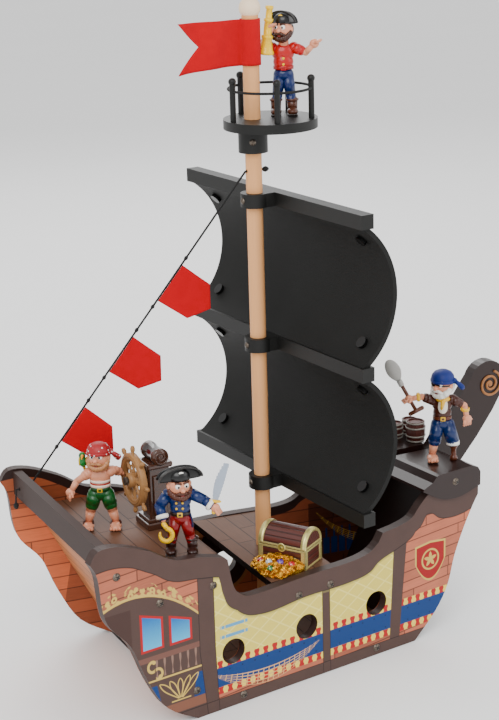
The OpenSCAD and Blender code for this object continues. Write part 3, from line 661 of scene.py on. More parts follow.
class Form:
    """A piece that is being modelled, in millimetres. A finish is a material or a tint's name."""

    def __init__(self, place=None, tints=None):
        self.mesh = bmesh.new()
        self.materials = []
        self.place = place or Matrix.Identity(4)
        self.tints = tints or {}

    def _index(self, material):
        if isinstance(material, str):
            tint = self.tints[material]
            material = toy_paint(f"{material}_{'_'.join(map(str, tint))}", *tint)
        if material not in self.materials:
            self.materials.append(material)
        return self.materials.index(material)

    def _settle(self, verts, material, matrix=None, smooth=True):
        verts = list(verts)
        if matrix is not None:
            bmesh.ops.transform(self.mesh, matrix=matrix, verts=verts)
        index = self._index(material)
        for face in {face for vert in verts for face in vert.link_faces}:
            face.material_index = index
            face.smooth = smooth

    def ball(self, centre, size, material, turn=(0, 0, 0), fine=16):
        """An ellipsoid with those three radii, turned by degrees about its own middle."""
        size = (size,) * 3 if isinstance(size, (int, float)) else size
        made = bmesh.ops.create_uvsphere(self.mesh, u_segments=fine, v_segments=max(6, fine // 2 + 2),
                                         radius=1.0)
        self._settle(made["verts"], material, located(centre, turn) @ Matrix.Diagonal((*size, 1)))

    def limb(self, points, radii, material, fine=14):
        """A rounded limb through the points."""
        for (a, b), (ra, rb) in zip(zip(points, points[1:]), zip(radii, radii[1:])):
            a, b = Vector(a), Vector(b)
            made = bmesh.ops.create_cone(self.mesh, cap_ends=True, segments=fine, radius1=ra, radius2=rb,
                                         depth=(b - a).length)
            self._settle(made["verts"], material, Matrix.Translation((a + b) / 2) @ pointed(b - a))
        for point, radius in zip(points, radii):
            self.ball(point, radius, material, fine=fine)

    def block(self, centre, size, material, turn=(0, 0, 0), edge=0.6, segments=2):
        """A box with rounded edges."""
        made = bmesh.ops.create_cube(self.mesh, size=1.0)
        bmesh.ops.transform(self.mesh, matrix=Matrix.Diagonal((*size, 1)), verts=made["verts"])
        verts = set(made["verts"])
        if edge:
            edges = list(dict.fromkeys(e for v in made["verts"] for e in v.link_edges))
            done = bmesh.ops.bevel(self.mesh, geom=edges, offset=edge, offset_type="OFFSET",
                                   segments=segments, profile=0.5, affect="EDGES", material=-1)
            verts = {v for v in verts if v.is_valid} | set(done["verts"])
            verts |= {v for f in done["faces"] for v in f.verts}
        self._settle(verts, material, located(centre, turn), smooth=False)

    def spun(self, profile, material, matrix=None, angle=math.tau, steps=40, smooth=True):
        """A profile of radius and height, spun about the local Z axis."""
        verts = [self.mesh.verts.new((r, 0.0, z)) for r, z in profile]
        edges = [self.mesh.edges.new(pair) for pair in zip(verts, verts[1:])]
        before = set(self.mesh.verts) - set(verts)
        bmesh.ops.spin(self.mesh, geom=verts + edges, cent=(0, 0, 0), axis=(0, 0, 1), angle=angle,
                       steps=steps, use_merge=angle >= math.tau, use_duplicate=False)
        made = [v for v in self.mesh.verts if v not in before]
        bmesh.ops.remove_doubles(self.mesh, verts=made, dist=0.0005)
        made = [v for v in self.mesh.verts if v not in before]
        bmesh.ops.recalc_face_normals(self.mesh,
                                      faces=list(dict.fromkeys(f for v in made for f in v.link_faces)))
        self._settle(made, material, matrix, smooth)

    def tube(self, points, radius, material, closed=False, fine=3):
        """A round bar along a line of points."""
        curve = bpy.data.curves.new("tube", "CURVE")
        curve.dimensions, curve.bevel_depth, curve.bevel_resolution = "3D", radius, fine
        curve.use_fill_caps = True
        line = curve.splines.new("POLY")
        line.points.add(len(points) - 1)
        for point, place in zip(line.points, points):
            point.co = (*place, 1.0)
        line.use_cyclic_u = closed
        holder = bpy.data.objects.new("tube", curve)
        shape = bpy.data.meshes.new_from_object(holder)
        before = set(self.mesh.verts)
        self.mesh.from_mesh(shape)
        self._settle([v for v in self.mesh.verts if v not in before], material)
        bpy.data.objects.remove(holder)
        bpy.data.curves.remove(curve)
        bpy.data.meshes.remove(shape)

    def made(self, name, body, slot, *nodes):
        """Turns the form into a finished piece that rides on its body and stands for CAD nodes."""
        bmesh.ops.transform(self.mesh, matrix=Matrix.Scale(MM, 4) @ self.place, verts=self.mesh.verts[:])
        mesh = bpy.data.meshes.new(name)
        self.mesh.to_mesh(mesh)
        self.mesh.free()
        for material in self.materials:
            mesh.materials.append(material)
        piece = bpy.data.objects.new(name, mesh)
        bpy.context.scene.collection.objects.link(piece)
        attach(piece, body)
        if nodes:
            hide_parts(*nodes)
        return piece


def turned(angle, axis):
    """A turn by degrees about an axis."""
    return Matrix.Rotation(math.radians(angle), 4, axis)


def pointed(way):
    """A turn that brings the Z axis along a way."""
    return way.to_track_quat("Z", "Y").to_matrix().to_4x4()


def deepened(share):
    """A stretch along the Y axis."""
    return Matrix.Diagonal((1.0, share, 1.0, 1.0))


def located(centre, turn=(0, 0, 0)):
    """A matrix that turns by degrees about X, Y and Z, and then moves to a place."""
    made = Matrix.Translation(centre)
    for angle, axis in zip(reversed(turn), "ZYX"):
        made = made @ turned(angle, axis)
    return made


def islands(node):
    """The separate solids of a CAD node: the lowest and highest corner of each, in millimetres."""
    mesh = bmesh.new()
    mesh.from_mesh(frame["nodes"][node].data)
    bmesh.ops.remove_doubles(mesh, verts=mesh.verts[:], dist=1e-6)
    left, found = set(mesh.verts), []
    while left:
        group, queue = set(), [left.pop()]
        while queue:
            vert = queue.pop()
            group.add(vert)
            for edge in vert.link_edges:
                other = edge.other_vert(vert)
                if other in left:
                    left.discard(other)
                    queue.append(other)
        corners = [[pick(v.co[i] for v in group) / MM for i in range(3)] for pick in (min, max)]
        found.append((Vector(corners[0]), Vector(corners[1])))
    mesh.free()
    return sorted(found, key=lambda pair: tuple(pair[0]))


def middle_of(node):
    """The middle of a CAD node's box, in millimetres."""
    low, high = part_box(node)
    return (low + high) / 2 / MM


# ---- The ship's pieces ----

class SHIP_OT_finishes(bpy.types.Operator):
    """Give every CAD node that stays in view its own finish"""
    bl_idname = "ship.finishes"
    bl_label = "Finish boards, spars and decks"

    def execute(self, context):
        colours = context.scene.ship_colours
        dark, black, tan = colours.dark, colours.black, colours.tan
        board, deck, steel = board_finish(), deck_finish(), steel_finish()
        trim = cast_finish("dark_moulding", dark, 0.3, 0.3, 0.12, 0.12, None, 0.0, 0.1)
        spar = wood_finish("black_spar", black, 0.5, 1, 1.0, 0.6)
        rail = wood_finish("rail_board", paint(80, 60, 53), 0.62, 1, 1.0, 0.4)
        nest = wood_finish("black_nest", black, 0.42, 0, 1.0, 0.5)
        cord = cord_finish("black_cord", paint(26, 25, 25))
        chest = chest_finish()
        sail = sail_finish()
        finishes = {
            "starboard_side": board, "port_side": board, "hull_floor": deck, "stern_deck": deck,
            "mid_deck": deck, "transom": transom_finish(), "deck_battens": wood_finish("batten", tan, 0.5, 0),
            "mast_step": wood_finish("step_block", tan, 0.5, 0), "stern_rail": rail,
            "bow_wall": wood_finish("bow_board", paint(58, 38, 32), 0.5, 1),
            "stem_board": trim, "starboard_prow_cap": trim, "port_prow_cap": trim,
            "mast": wood_finish("mast_dowel", colours.dowel, 0.5, 2, 1.6, 0.3),
            "mast_ball": wood_finish("ball_wood", paint(240, 222, 198), 0.45, 2, 1.2, 0.2),
            "nest_platform": nest, "nest_posts": nest, "nest_rope": cord, "pennant_line": cord,
            "upper_yard": spar, "middle_yard": spar, "lower_yard": spar, "upper_sail": sail,
            "lower_sail": sail, "sail_knobs": cast_finish("black_knob", paint(30, 30, 30), 0.28, 0.2),
            "chest_base": chest, "chest_lid": chest, "chest_pin": brass_finish(), "helm_axle": steel,
        }
        for screws in ("starboard_screws", "port_screws", "prow_screws", "nest_screw", "yard_screws"):
            finishes[screws] = steel
        for node, material in finishes.items():
            worn = frame["nodes"][node].data.materials
            worn.clear()
            worn.append(material)
        return {"FINISHED"}


def chest_finish():
    """Brown planks that run along the chest."""
    finish = Finish("chest_planks", Roughness=0.38, Coat_Weight=0.1)
    x, y, z = finish.axes(finish.place())
    turn = math.radians(CHEST_TURN)
    u = (x - CHEST_AT[0]) * math.cos(turn) + (y - CHEST_AT[1]) * math.sin(turn)
    v = (y - CHEST_AT[1]) * math.cos(turn) - (x - CHEST_AT[0]) * math.sin(turn)
    roll = finish.maths("ARCTAN2", v, abs(z - CHEST_AT[2] - 18.3)) * 15.0
    over = z.above(CHEST_AT[2] + 18.2, 0.1)
    across = over * roll + (1.0 - over) * (z - CHEST_AT[2])
    colour, height = plank_colour(finish, bpy.context.scene.ship_colours.chest, u, across, 3.0, 5.2, 300.0,
                                  0.3, 0.6)
    finish.use("Base Color", colour)
    finish.bump(height, 0.6, 0.0006)
    return finish.material


def brass_finish():
    brass = bpy.context.scene.ship_colours.brass
    # The pale brass on the proud edges is a painted highlight, together with rubbed paint.
    return finish_of("brass_paint", cast_finish, "brass_paint", brass, 0.3, 0.35, 0.4, 0.3,
                     paint(240, 232, 180), 0.6)


CHEST_TURN = -57.0
CHEST_AT = (3.0, -45.0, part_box("mid_deck")[1].z / MM)
CHEST_SIZE = (46.0, 30.0, 18.0)


class SHIP_OT_chest(bpy.types.Operator):
    """Band the treasure chest with brass"""
    bl_idname = "ship.chest"
    bl_label = "Chest bands and hasp"

    def execute(self, context):
        brass, dark = brass_finish(), toy_paint("hasp_shadow", 52, 44, 26)
        place = Matrix.Translation(CHEST_AT) @ turned(CHEST_TURN, "Z")
        length, depth, height = CHEST_SIZE
        base = Form(place)
        for x in (-length / 2, length / 2):
            for y in (-depth / 2, depth / 2):
                base.block((x - math.copysign(1.6, x), y, height / 2), (4.6, 1.4, height), brass, edge=0.3)
                base.block((x, y - math.copysign(1.6, y), height / 2), (1.4, 4.6, height), brass, edge=0.3)
        for z in (1.2, height - 1.0):
            base.block((0, -depth / 2, z), (length, 1.5, 1.8), brass, edge=0.3)
            for x in (-length / 2, length / 2):
                base.block((x, 0, z), (1.5, depth, 1.8), brass, edge=0.3)
        for x in (-13, 13):
            base.ball((x, -depth / 2 - 0.4, 9), (1.3, 0.9, 1.3), brass, fine=10)
        base.made("chest_trim", "chest", "brass_paint", "chest_bands")
        lid = Form(place)
        for x in (-length / 2 + 2.2, length / 2 - 2.2):
            band = Matrix.Translation((x, 0, height + 0.5)) @ turned(90, "Y") @ turned(96, "Z")
            lid.spun([(14.6, -2.2), (15.9, -2.0), (16.2, 0), (15.9, 2.0), (14.6, 2.2), (14.6, -2.2)], brass,
                     band, math.radians(168), 28)
        for x in (-length / 2 - 0.1, length / 2 + 0.1):
            ring = Matrix.Translation((x, 0, height + 0.5)) @ turned(90, "Y") @ turned(90, "Z")
            lid.spun([(13.2, -0.5), (15.6, -0.5), (15.6, 0.5), (13.2, 0.5), (13.2, -0.5)], brass, ring,
                     math.radians(180), 24)
            lid.block((x, 0, height + 1.5), (1.2, depth - 0.8, 1.8), brass, edge=0.3)
        lid.block((0, -depth / 2 + 0.2, height + 1.4), (length, 1.6, 1.7), brass, edge=0.3)
        hasp = Matrix.Translation((0, -depth / 2 - 0.2, height)) @ turned(90, "X")
        lid.spun([(0, 0), (4.0, 0), (4.0, 0.8), (3.4, 1.3), (2.6, 0.9), (1.2, 0.9), (0.9, 1.3), (0, 1.4)],
                 brass, hasp)
        lid.block((0, -depth / 2 - 1.3, height - 0.6), (0.9, 0.6, 2.2), dark, edge=0.2)
        lid.made("lid_trim", "lid", "brass_paint", "lid_bands", "chest_hasp")
        return {"FINISHED"}


class SHIP_OT_treasure(bpy.types.Operator):
    """Heap gold coins and gems before the chest"""
    bl_idname = "ship.treasure"
    bl_label = "Treasure"

    def execute(self, context):
        sizes = context.scene.ship_sizes
        chance = random.Random(7)
        gold = gold_finish()
        heap = Form()
        heap._index(gold)
        heap.mesh.from_mesh(frame["nodes"]["treasure"].data)
        bmesh.ops.remove_doubles(heap.mesh, verts=heap.mesh.verts[:], dist=1e-6)
        tree = BVHTree.FromBMesh(heap.mesh)
        bmesh.ops.transform(heap.mesh, matrix=Matrix.Scale(1 / MM, 4), verts=heap.mesh.verts[:])
        low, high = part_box("treasure")
        radius = sizes.coin / MM
        laid = 0
        while laid < sizes.coins:
            start = Vector((chance.uniform(low.x, high.x), chance.uniform(low.y, high.y), high.z + 0.02))
            point, normal, _, _ = tree.ray_cast(start, Vector((0, 0, -1)))
            if point is None or point.z < low.z + 0.0008 or normal.z < 0.3:
                if chance.random() < 0.001:
                    break
                continue
            laid += 1
            turn = pointed(normal + Vector((chance.gauss(0, 0.35), chance.gauss(0, 0.35), 0)))
            size = radius * chance.uniform(0.6, 1.05)
            made = bmesh.ops.create_cone(heap.mesh, cap_ends=True, segments=10, radius1=size, radius2=size,
                                         depth=0.8)
            centre = point / MM + normal.normalized() * chance.uniform(0.1, 0.9)
            heap._settle(made["verts"], gold, Matrix.Translation(centre) @ turn, smooth=False)
        heap.made("coin_heap", "heap", "gold_resin", "treasure")
        jewels = Form()
        tints = [("gem_green", 20, 150, 60), ("gem_red", 200, 16, 40), ("gem_clear", 225, 230, 240),
                 ("gem_violet", 120, 60, 190), ("gem_ruby", 220, 30, 60)]
        for (corner, top), tint in zip(islands("gems"), tints):
            material = finish_of(tint[0], gem_finish, tint[0], paint(*tint[1:]))
            made = bmesh.ops.create_icosphere(jewels.mesh, subdivisions=2,
                                              radius=(top.x - corner.x) / 2 * 0.98)
            jewels._settle(made["verts"], material, Matrix.Translation((corner + top) / 2), smooth=False)
        jewels.made("heap_gems", "heap", "gem", "gems")
        return {"FINISHED"}


class SHIP_OT_screw_slots(bpy.types.Operator):
    """Cut a cross into the head of each screw of the side boards and prow caps"""
    bl_idname = "ship.screw_slots"
    bl_label = "Screw crosses"

    def execute(self, context):
        black = toy_paint("screw_shadow", 22, 18, 16)
        turn = SIDE_TAPER
        for node, side in (("starboard_screws", -1), ("port_screws", 1), ("prow_screws", 0)):
            form = Form()
            for low, high in islands(node):
                hand = side or (1 if (low.y + high.y) > 0 else -1)
                out = Vector((math.sin(turn), hand * math.cos(turn), 0))
                face = high.y if hand > 0 else low.y
                middle = Vector(((low.x + high.x) / 2, face, (low.z + high.z) / 2))
                middle.x += out.x * (high.y - low.y) / 2
                for angle in (35, 125):
                    form.block(middle - out * 0.1, (3.6, 0.5, 0.8), black,
                               (0, angle, math.degrees(turn) * -hand), edge=0.15, segments=1)
            form.made(node.replace("screws", "crosses"), "hull", "screw_steel")
        return {"FINISHED"}


class SHIP_OT_barrels(bpy.types.Operator):
    """Hooped barrels and a ring of rope on the port rail"""
    bl_idname = "ship.barrels"
    bl_label = "Barrels"

    def execute(self, context):
        stave = finish_of("barrel_staves", wood_finish, "barrel_staves", paint(112, 70, 62), 0.36, 2, 1.3,
                          0.7)
        hoop = toy_paint("barrel_hoops", 176, 172, 164)
        form = Form()
        for low, high in islands("barrels"):
            middle, radius, height = (low + high) / 2, (high.x - low.x) / 2, high.z - low.z
            stand = Matrix.Translation((middle.x, middle.y, low.z))
            bulge = [(radius * (0.85 + 0.14 * math.sin(math.pi * i / 8)), height * i / 8) for i in range(9)]
            top = [(radius * 0.76, height), (radius * 0.76, height - 1.2), (0, height - 1.2)]
            form.spun([(0, 0)] + bulge + top, stave, stand, steps=12, smooth=False)
            for share in (0.06, 0.3, 0.7, 0.94):
                around = radius * (0.85 + 0.14 * math.sin(math.pi * share)) + 0.05
                z = height * share
                form.spun([(around, z - 0.8), (around + 0.45, z - 0.6), (around + 0.45, z + 0.6),
                           (around, z + 0.8)],
                          hoop, stand, steps=32)
        form.made("hooped_barrels", "hull", "barrel_resin", "barrels")
        rope = toy_paint("rope_coil", 150, 108, 88, 0.6)
        ring = Form(located(middle_of("barrel_ring"), (90, 0, -28)))
        for strand in range(3):
            points = []
            for i in range(120):
                a = math.tau * i / 120
                twist = a * 11 + strand * math.tau / 3
                reach = 6.5 + 0.9 * math.cos(twist)
                points.append((reach * math.cos(a), reach * math.sin(a), 0.9 * math.sin(twist)))
            ring.tube(points, 0.95, rope, closed=True, fine=2)
        ring.made("rope_coil", "hull", "rope_resin", "barrel_ring")
        return {"FINISHED"}


class SHIP_OT_scrolls(bpy.types.Operator):
    """Carved spirals on both sides of the stem board"""
    bl_idname = "ship.scrolls"
    bl_label = "Stem scrolls"

    def execute(self, context):
        carved = finish_of("carved_scroll", cast_finish, "carved_scroll", paint(176, 132, 92), 0.4, 0.4, 0.5,
                           0.3)
        low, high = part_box("stem_scrolls")
        centre, half = middle_of("stem_scrolls"), (high.y - low.y) / 2 / MM
        form = Form()
        for side in (-1, 1):
            points = []
            for i in range(90):
                t = i / 89
                angle = math.tau * 2.1 * t + 0.6
                reach = 1.5 + 11.5 * t
                points.append((centre.x + reach * math.cos(angle), side * (half - 0.8),
                               centre.z + reach * math.sin(angle)))
            form.tube(points, 1.25, carved)
            form.ball((centre.x, side * (half - 0.6), centre.z), (2.4, 1.2, 2.4), carved)
        form.made("stem_spirals", "hull", "carved_tan", "stem_scrolls")
        return {"FINISHED"}


class SHIP_OT_helm(bpy.types.Operator):
    """Carved pedestal with a scroll top, and a turned ship's wheel"""
    bl_idname = "ship.helm"
    bl_label = "Helm"

    def execute(self, context):
        dark = context.scene.ship_colours.dark
        # The lighter brown on the proud edges is a painted highlight, together with rubbed paint.
        gloss = finish_of("carved_stand", cast_finish, "carved_stand", dark, 0.18, 0.3, 0.2, 0.3,
                          paint(120, 84, 64), 0.0, 0.6)
        low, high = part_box("helm_stand")
        x, deck = (low.x + high.x) / 2 / MM, low.z / MM
        form = Form(Matrix.Translation((x, 0, deck)))
        form.block((0, 0, 3.2), (29.6, 27.6, 6.4), gloss, edge=1.2, segments=3)
        form.block((0, 0, 8), (26, 24, 3.4), gloss, edge=1.0, segments=3)
        form.block((0, 0, 33), (20, 17, 50), gloss, edge=1.4, segments=3)
        for y in (-9.4, 9.4):
            form.block((0, y, 30), (13, 1.6, 36), gloss, edge=0.7)
            form.tube(spiral((0, y, 20), 5.2, 1.6), 1.0, gloss)
        form.block((0, 0, 57), (24, 24, 5), gloss, edge=1.6, segments=3)
        roll = Matrix.Translation((0, -13.6, 65.4)) @ turned(-90, "X")
        form.spun([(0, 0), (7.2, 0), (7.6, 0.8), (7.6, 4.5), (6.8, 6.5), (6.8, 20.7), (7.6, 22.7),
                   (7.6, 26.4), (7.2, 27.2), (0, 27.2)], gloss, roll)
        for y in (-13.8, 13.8):
            form.tube(spiral((0, y, 65.4), 6.6, 2.0), 0.8, gloss)
        form.made("helm_pedestal", "hull", "dark_moulding", "helm_stand")
        return self.wheel(context)

    def wheel(self, context):
        wood = finish_of("wheel_wood", wood_finish, "wheel_wood", paint(176, 140, 100), 0.42, 1, 1.4, 0.9)
        low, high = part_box("helm_wheel")
        reach = (high.z - low.z) / 2 / MM
        form = Form(Matrix.Translation(frame_joint("wheel_spin")) @ turned(90, "Y"))
        rim = [(0.56, -2.6), (0.60, -3.1), (0.72, -3.1), (0.76, -2.4), (0.76, 2.4), (0.72, 3.1), (0.60, 3.1),
               (0.56, 2.6), (0.56, -2.6)]
        form.spun([(reach * r, z) for r, z in rim], wood, steps=64)
        form.spun([(reach * 0.65, -3.6), (reach * 0.68, -3.6), (reach * 0.68, 3.6), (reach * 0.65, 3.6),
                   (reach * 0.65, -3.6)], wood, steps=64)
        form.spun([(2.2, -6.0), (5.0, -6.0), (6.4, -4.6), (6.6, -3), (6.6, 4), (5.6, 6.4), (5.0, 8.4),
                   (2.2, 8.4), (2.2, -6.0)], wood)
        spoke = [(0, 0.14), (1.5, 0.16), (1.7, 0.26), (1.1, 0.32), (1.9, 0.42), (1.2, 0.52), (1.9, 0.57),
                 (1.7, 0.76), (1.0, 0.79), (1.9, 0.84), (2.1, 0.91), (1.5, 0.98), (0, 1.0)]
        for i in range(8):
            turn = turned(45 * i, "Z") @ turned(90, "Y")
            form.spun([(r, share * reach) for r, share in spoke], wood, turn, steps=12)
        form.made("turned_wheel", "wheel", "carved_tan", "helm_wheel")
        return {"FINISHED"}


def frame_joint(name):
    """Where a joint turns, in millimetres."""
    joint = next(j for j in frame["joints"] if j["name"] == name)
    return Vector(joint["pos_m"]) / MM


def spiral(centre, reach, turns):
    """Points along a spiral that faces along Y."""
    points, count = [], int(turns * 28)
    for i in range(count + 1):
        t = i / count
        a = math.tau * turns * t
        side, up = reach * t * math.cos(a), reach * t * math.sin(a)
        points.append((centre[0] + side, centre[1], centre[2] + up))
    return points


# ---- Felt ----

def felt_sheet(name, columns, rows, place, thick):
    """A sheet of felt from a grid whose corners are placed by a function of the two shares."""
    mesh = bmesh.new()
    bmesh.ops.create_grid(mesh, x_segments=columns, y_segments=rows, size=0.5)
    for vert in mesh.verts:
        vert.co = Vector(place(vert.co.x + 0.5, vert.co.y + 0.5)) * MM
    bmesh.ops.recalc_face_normals(mesh, faces=mesh.faces[:])
    data = bpy.data.meshes.new(name)
    mesh.to_mesh(data)
    mesh.free()
    data.materials.append(finish_of("red_felt", felt_finish))
    for face in data.polygons:
        face.use_smooth = True
    piece = bpy.data.objects.new(name, data)
    bpy.context.scene.collection.objects.link(piece)
    solid = piece.modifiers.new("felt", "SOLIDIFY")
    solid.thickness, solid.offset = thick, 0.0
    return piece


class SHIP_OT_flag(bpy.types.Operator):
    """Swallowtail flag of felt, wrapped round the masthead"""
    bl_idname = "ship.flag"
    bl_label = "Masthead flag"

    def execute(self, context):
        sizes = context.scene.ship_sizes
        low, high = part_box("masthead_flag")
        mast = (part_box("mast")[1].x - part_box("mast")[0].x) / 2 / MM
        radius = mast + 1.0
        height = (high.z - low.z) / MM
        fly = -low.x / MM - radius
        round_mast = math.tau * radius
        full = round_mast + fly
        notch = 19.0
        wave = sizes.wave / MM

        def place(u, v):
            reach = u * (full - (1 - abs(2 * v - 1)) * notch * max(0.0, (u - 0.45) / 0.55))
            z = low.z / MM + v * height
            if reach < round_mast:
                angle = math.pi - math.tau * reach / round_mast * 0.985 - 0.04
                return radius * math.cos(angle), radius * math.sin(angle), z
            out = reach - round_mast
            sway = wave * math.sin(out * 0.16 + v * 1.6) * min(1.0, out / 18.0)
            return -radius - out, 0.7 + sway, z - 0.0012 * out * out * (1 - v)

        flag = felt_sheet("swallowtail_flag", 72, 16, place, sizes.felt)
        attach(flag, "hull")
        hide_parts("masthead_flag")
        area = (full * height - notch * height / 2) * MM * MM
        full * MM
        return {"FINISHED"}


class SHIP_OT_pennants(bpy.types.Operator):
    """Three felt pennants on the line from the mast to the stern"""
    bl_idname = "ship.pennants"
    bl_label = "Pennants"

    def execute(self, context):
        sizes = context.scene.ship_sizes
        start, end = Vector(LINE_TOP), Vector(LINE_FOOT)
        way = (end - start).normalized()
        side = way.cross(Vector((0, 0, 1))).normalized()
        down = side.cross(way).normalized()
        down = -down if down.z > 0 else down
        width, length, shoulder = 38.0, 42.0, 0.7
        for index, share in enumerate(PENNANT_PLACES):
            root = start + (end - start) * share + down * 1.0

            def place(u, v, root=root, index=index):
                across = (u - 0.5) * (width - 4 * v * shoulder)
                depth = length * (shoulder + (1 - shoulder) * (1 - abs(2 * u - 1)))
                sway = 1.1 * math.sin(u * 5.0 + index * 2.1) * v + 2.0 * v * v * math.cos(index + u * 2)
                return root + way * across + down * depth * v + side * sway

            pennant = felt_sheet(f"pennant_{index + 1}", 24, 22, place, sizes.felt)
            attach(pennant, "hull")
            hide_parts("pennants")
        return {"FINISHED"}


LINE_TOP = (-8.0, 0.0, 441.0)
LINE_FOOT = (-190.9, 84.0, 163.0)
PENNANT_PLACES = (0.34, 0.565, 0.79)


# ---- The crew ----

CREW_TINTS = {
    "skin": (226, 170, 142), "white": (240, 238, 232), "pupil": (24, 20, 20), "mouth": (150, 62, 56),
    "sole": (60, 40, 30), "buckle": (226, 190, 60), "trim": (60, 58, 56), "patch": (24, 22, 24),
}


class Figure(Form):
    """A toy sailor, modelled in its own millimetres: X to its left hand, -Y before it, Z up."""

    def __init__(self, at, tall, **tints):
        super().__init__(located(at, (0, 0, -28)), {**CREW_TINTS, **tints})
        self.hip, self.waist, self.shoulder = tall * 0.36, tall * 0.44, tall * 0.62
        self.head = Vector((0, -1.5, tall * 0.79))
        self.chance = random.Random(int(tall * 10))

    def prop(self, centre, turn):
        """A form for what the figure holds, at a place in its hand."""
        return Form(self.place @ located(centre, turn), self.tints)

    def leg(self, foot, bare=False, cut=1.0):
        """A leg from the hip to the foot, in a trouser that covers a share of it."""
        hip = Vector((foot * 0.45, 0, self.hip))
        knee = Vector((foot * 0.8, -1.6, self.hip * 0.52))
        ankle = Vector((foot, 0, 5))
        self.limb([hip, knee, ankle], [5.6, 4.4, 3.2], "skin" if cut < 1 else "trouser")
        if cut < 1:
            end = hip.lerp(knee, cut * 2)
            self.limb([hip, end], [6.4, 6.0], "trouser")
        if bare:
            self.ball((foot, -4.4, 3.2), (5.2, 8.0, 3.3), "skin")
            for i in range(4):
                self.ball((foot - 3.6 + 2.4 * i, -11.4 + abs(i - 1) * 0.5, 2.4), (1.5, 1.9, 1.8), "skin",
                          fine=10)
        else:
            self.ball((foot, -4.2, 3.2), (4.8, 7.8, 3.3), "boot")
            self.limb([(foot, 0, 4), (foot * 0.98, -0.4, 12)], [4.2, 4.6], "boot")
            self.spun([(4.4, -1), (5.4, -0.6), (5.6, 0.8), (4.6, 1.2)], "boot",
                      located((foot * 0.98, -0.4, 12.4)), steps=20)
            self.block((foot, -3.6, 0.8), (8.6, 15, 1.5), "sole", edge=0.6)

    def body(self, shirt="shirt", belt="belt"):
        """The pelvis, belt, belly and shoulders."""
        self.ball((0, 0, self.hip + 1), (8.6, 6.8, 6.4), "trouser")
        self.ball((0, -0.6, self.waist + 4), (8.6, 7.0, 8.0), shirt)
        self.ball((0, 0, self.shoulder - 5), (9.6, 6.8, 8.4), shirt)
        self.spun([(7.6, -1.6), (8.7, -1.4), (8.7, 1.4), (7.6, 1.6)], belt,
                  located((0, -0.3, self.waist - 0.6)) @ deepened(0.84), steps=28)
        self.block((0, -7.4, self.waist - 0.6), (4.6, 1.4, 4.0), "buckle", edge=0.5)
        self.block((0, -8.0, self.waist - 0.6), (2.4, 0.8, 1.9), belt, edge=0.2)

    def arm(self, points, sleeve="shirt", bare_from=0.3, cuff=None, hand=True):
        """An arm through shoulder, elbow and hand, sleeved for a share of its length."""
        a, b, c = (Vector(p) for p in points)
        self.limb([a, b, c], [3.6, 3.0, 2.4], "skin")
        end = b.lerp(c, max(0.0, bare_from * 2 - 1)) if bare_from > 0.5 else a.lerp(b, bare_from * 2)
        line = [a, b, end] if bare_from > 0.5 else [a, end]
        self.limb(line, [5.0, 4.4, 4.0][:len(line)], sleeve)
        if cuff:
            self.spun([(3.6, -1.6), (5.2, -1.8), (5.6, 0), (5.0, 1.6), (3.4, 1.8)], cuff,
                      Matrix.Translation(end) @ pointed(c - b), steps=20)
        if hand:
            self.hand(c, c - b)

    def hand(self, centre, way):
        """A palm with four fingers and a thumb."""
        turn = Matrix.Translation(centre) @ pointed(way)
        self.ball(turn @ Vector((0, 0, 1.8)), (4.1, 3.2, 4.0), "skin")
        for i in range(4):
            start = turn @ Vector((-3.0 + 2.0 * i, 0, 3.4))
            tip = turn @ Vector((-3.6 + 2.4 * i, -1.8, 7.2))
            self.limb([start, tip], [1.4, 1.15], "skin", fine=8)
        self.limb([turn @ Vector((3.2, 0, 0.8)), turn @ Vector((5.6, -1.4, 3.2))], [1.5, 1.2], "skin", fine=8)

    def face(self, patch=False):
        """A plain toy face: nose, ears, eyes, brows, moustache and beard."""
        head, self.standing = self.head, set(self.mesh.verts)
        self.limb([(0, 0, self.shoulder), head], [4.0, 4.0], "skin")
        self.ball(head, (7.6, 7.2, 8.2), "skin", fine=22)
        self.ball(head + Vector((0, -7.6, -0.6)), (1.8, 2.3, 1.8), "skin")
        for side in (-1, 1):
            self.ball(head + Vector((7.4 * side, 0.2, -0.4)), (1.2, 1.9, 2.3), "skin")
            if patch and side < 0:
                self.ball(head + Vector((-2.9, -6.3, 1.8)), (2.4, 1.2, 2.3), "patch")
                continue
            self.ball(head + Vector((2.8 * side, -5.9, 1.8)), (1.9, 1.3, 2.0), "white")
            self.ball(head + Vector((2.7 * side, -7.1, 1.7)), (0.8, 0.45, 0.9), "pupil", fine=10)
            self.limb([head + Vector((1.2 * side, -6.8, 4.0)), head + Vector((4.6 * side, -5.8, 4.4))],
                      [0.8, 0.6], "hair", fine=8)
        if patch:
            ring = located(head + Vector((0, 0, 2.4)), (0, 14, 0))
            self.spun([(7.7, -0.5), (8.0, -0.4), (8.0, 0.4), (7.7, 0.5)], "patch", ring, steps=28)
        self.ball(head + Vector((0, 2.6, -0.6)), (7.9, 6.6, 8.0), "hair", fine=20)
        for side in (-1, 1):
            self.limb([head + Vector((0.6 * side, -7.6, -2.6)), head + Vector((4.4 * side, -6.4, -4.0))],
                      [1.5, 0.8], "hair", fine=10)
        self.ball(head + Vector((0, -7.2, -4.6)), (1.6, 0.9, 0.8), "mouth", fine=10)
        for i in range(26):
            angle = math.pi * (0.04 + 0.92 * (i % 13) / 12)
            drop = 1.0 if i < 13 else 0.62
            spot = head + Vector((6.9 * math.cos(angle), -1.0 - 5.4 * math.sin(angle) * drop,
                                  -2.2 - 5.6 * math.sin(angle) * (1.35 - 0.5 * drop)))
            self.ball(spot, 2.1 + self.chance.uniform(-0.3, 0.5), "hair", fine=10)

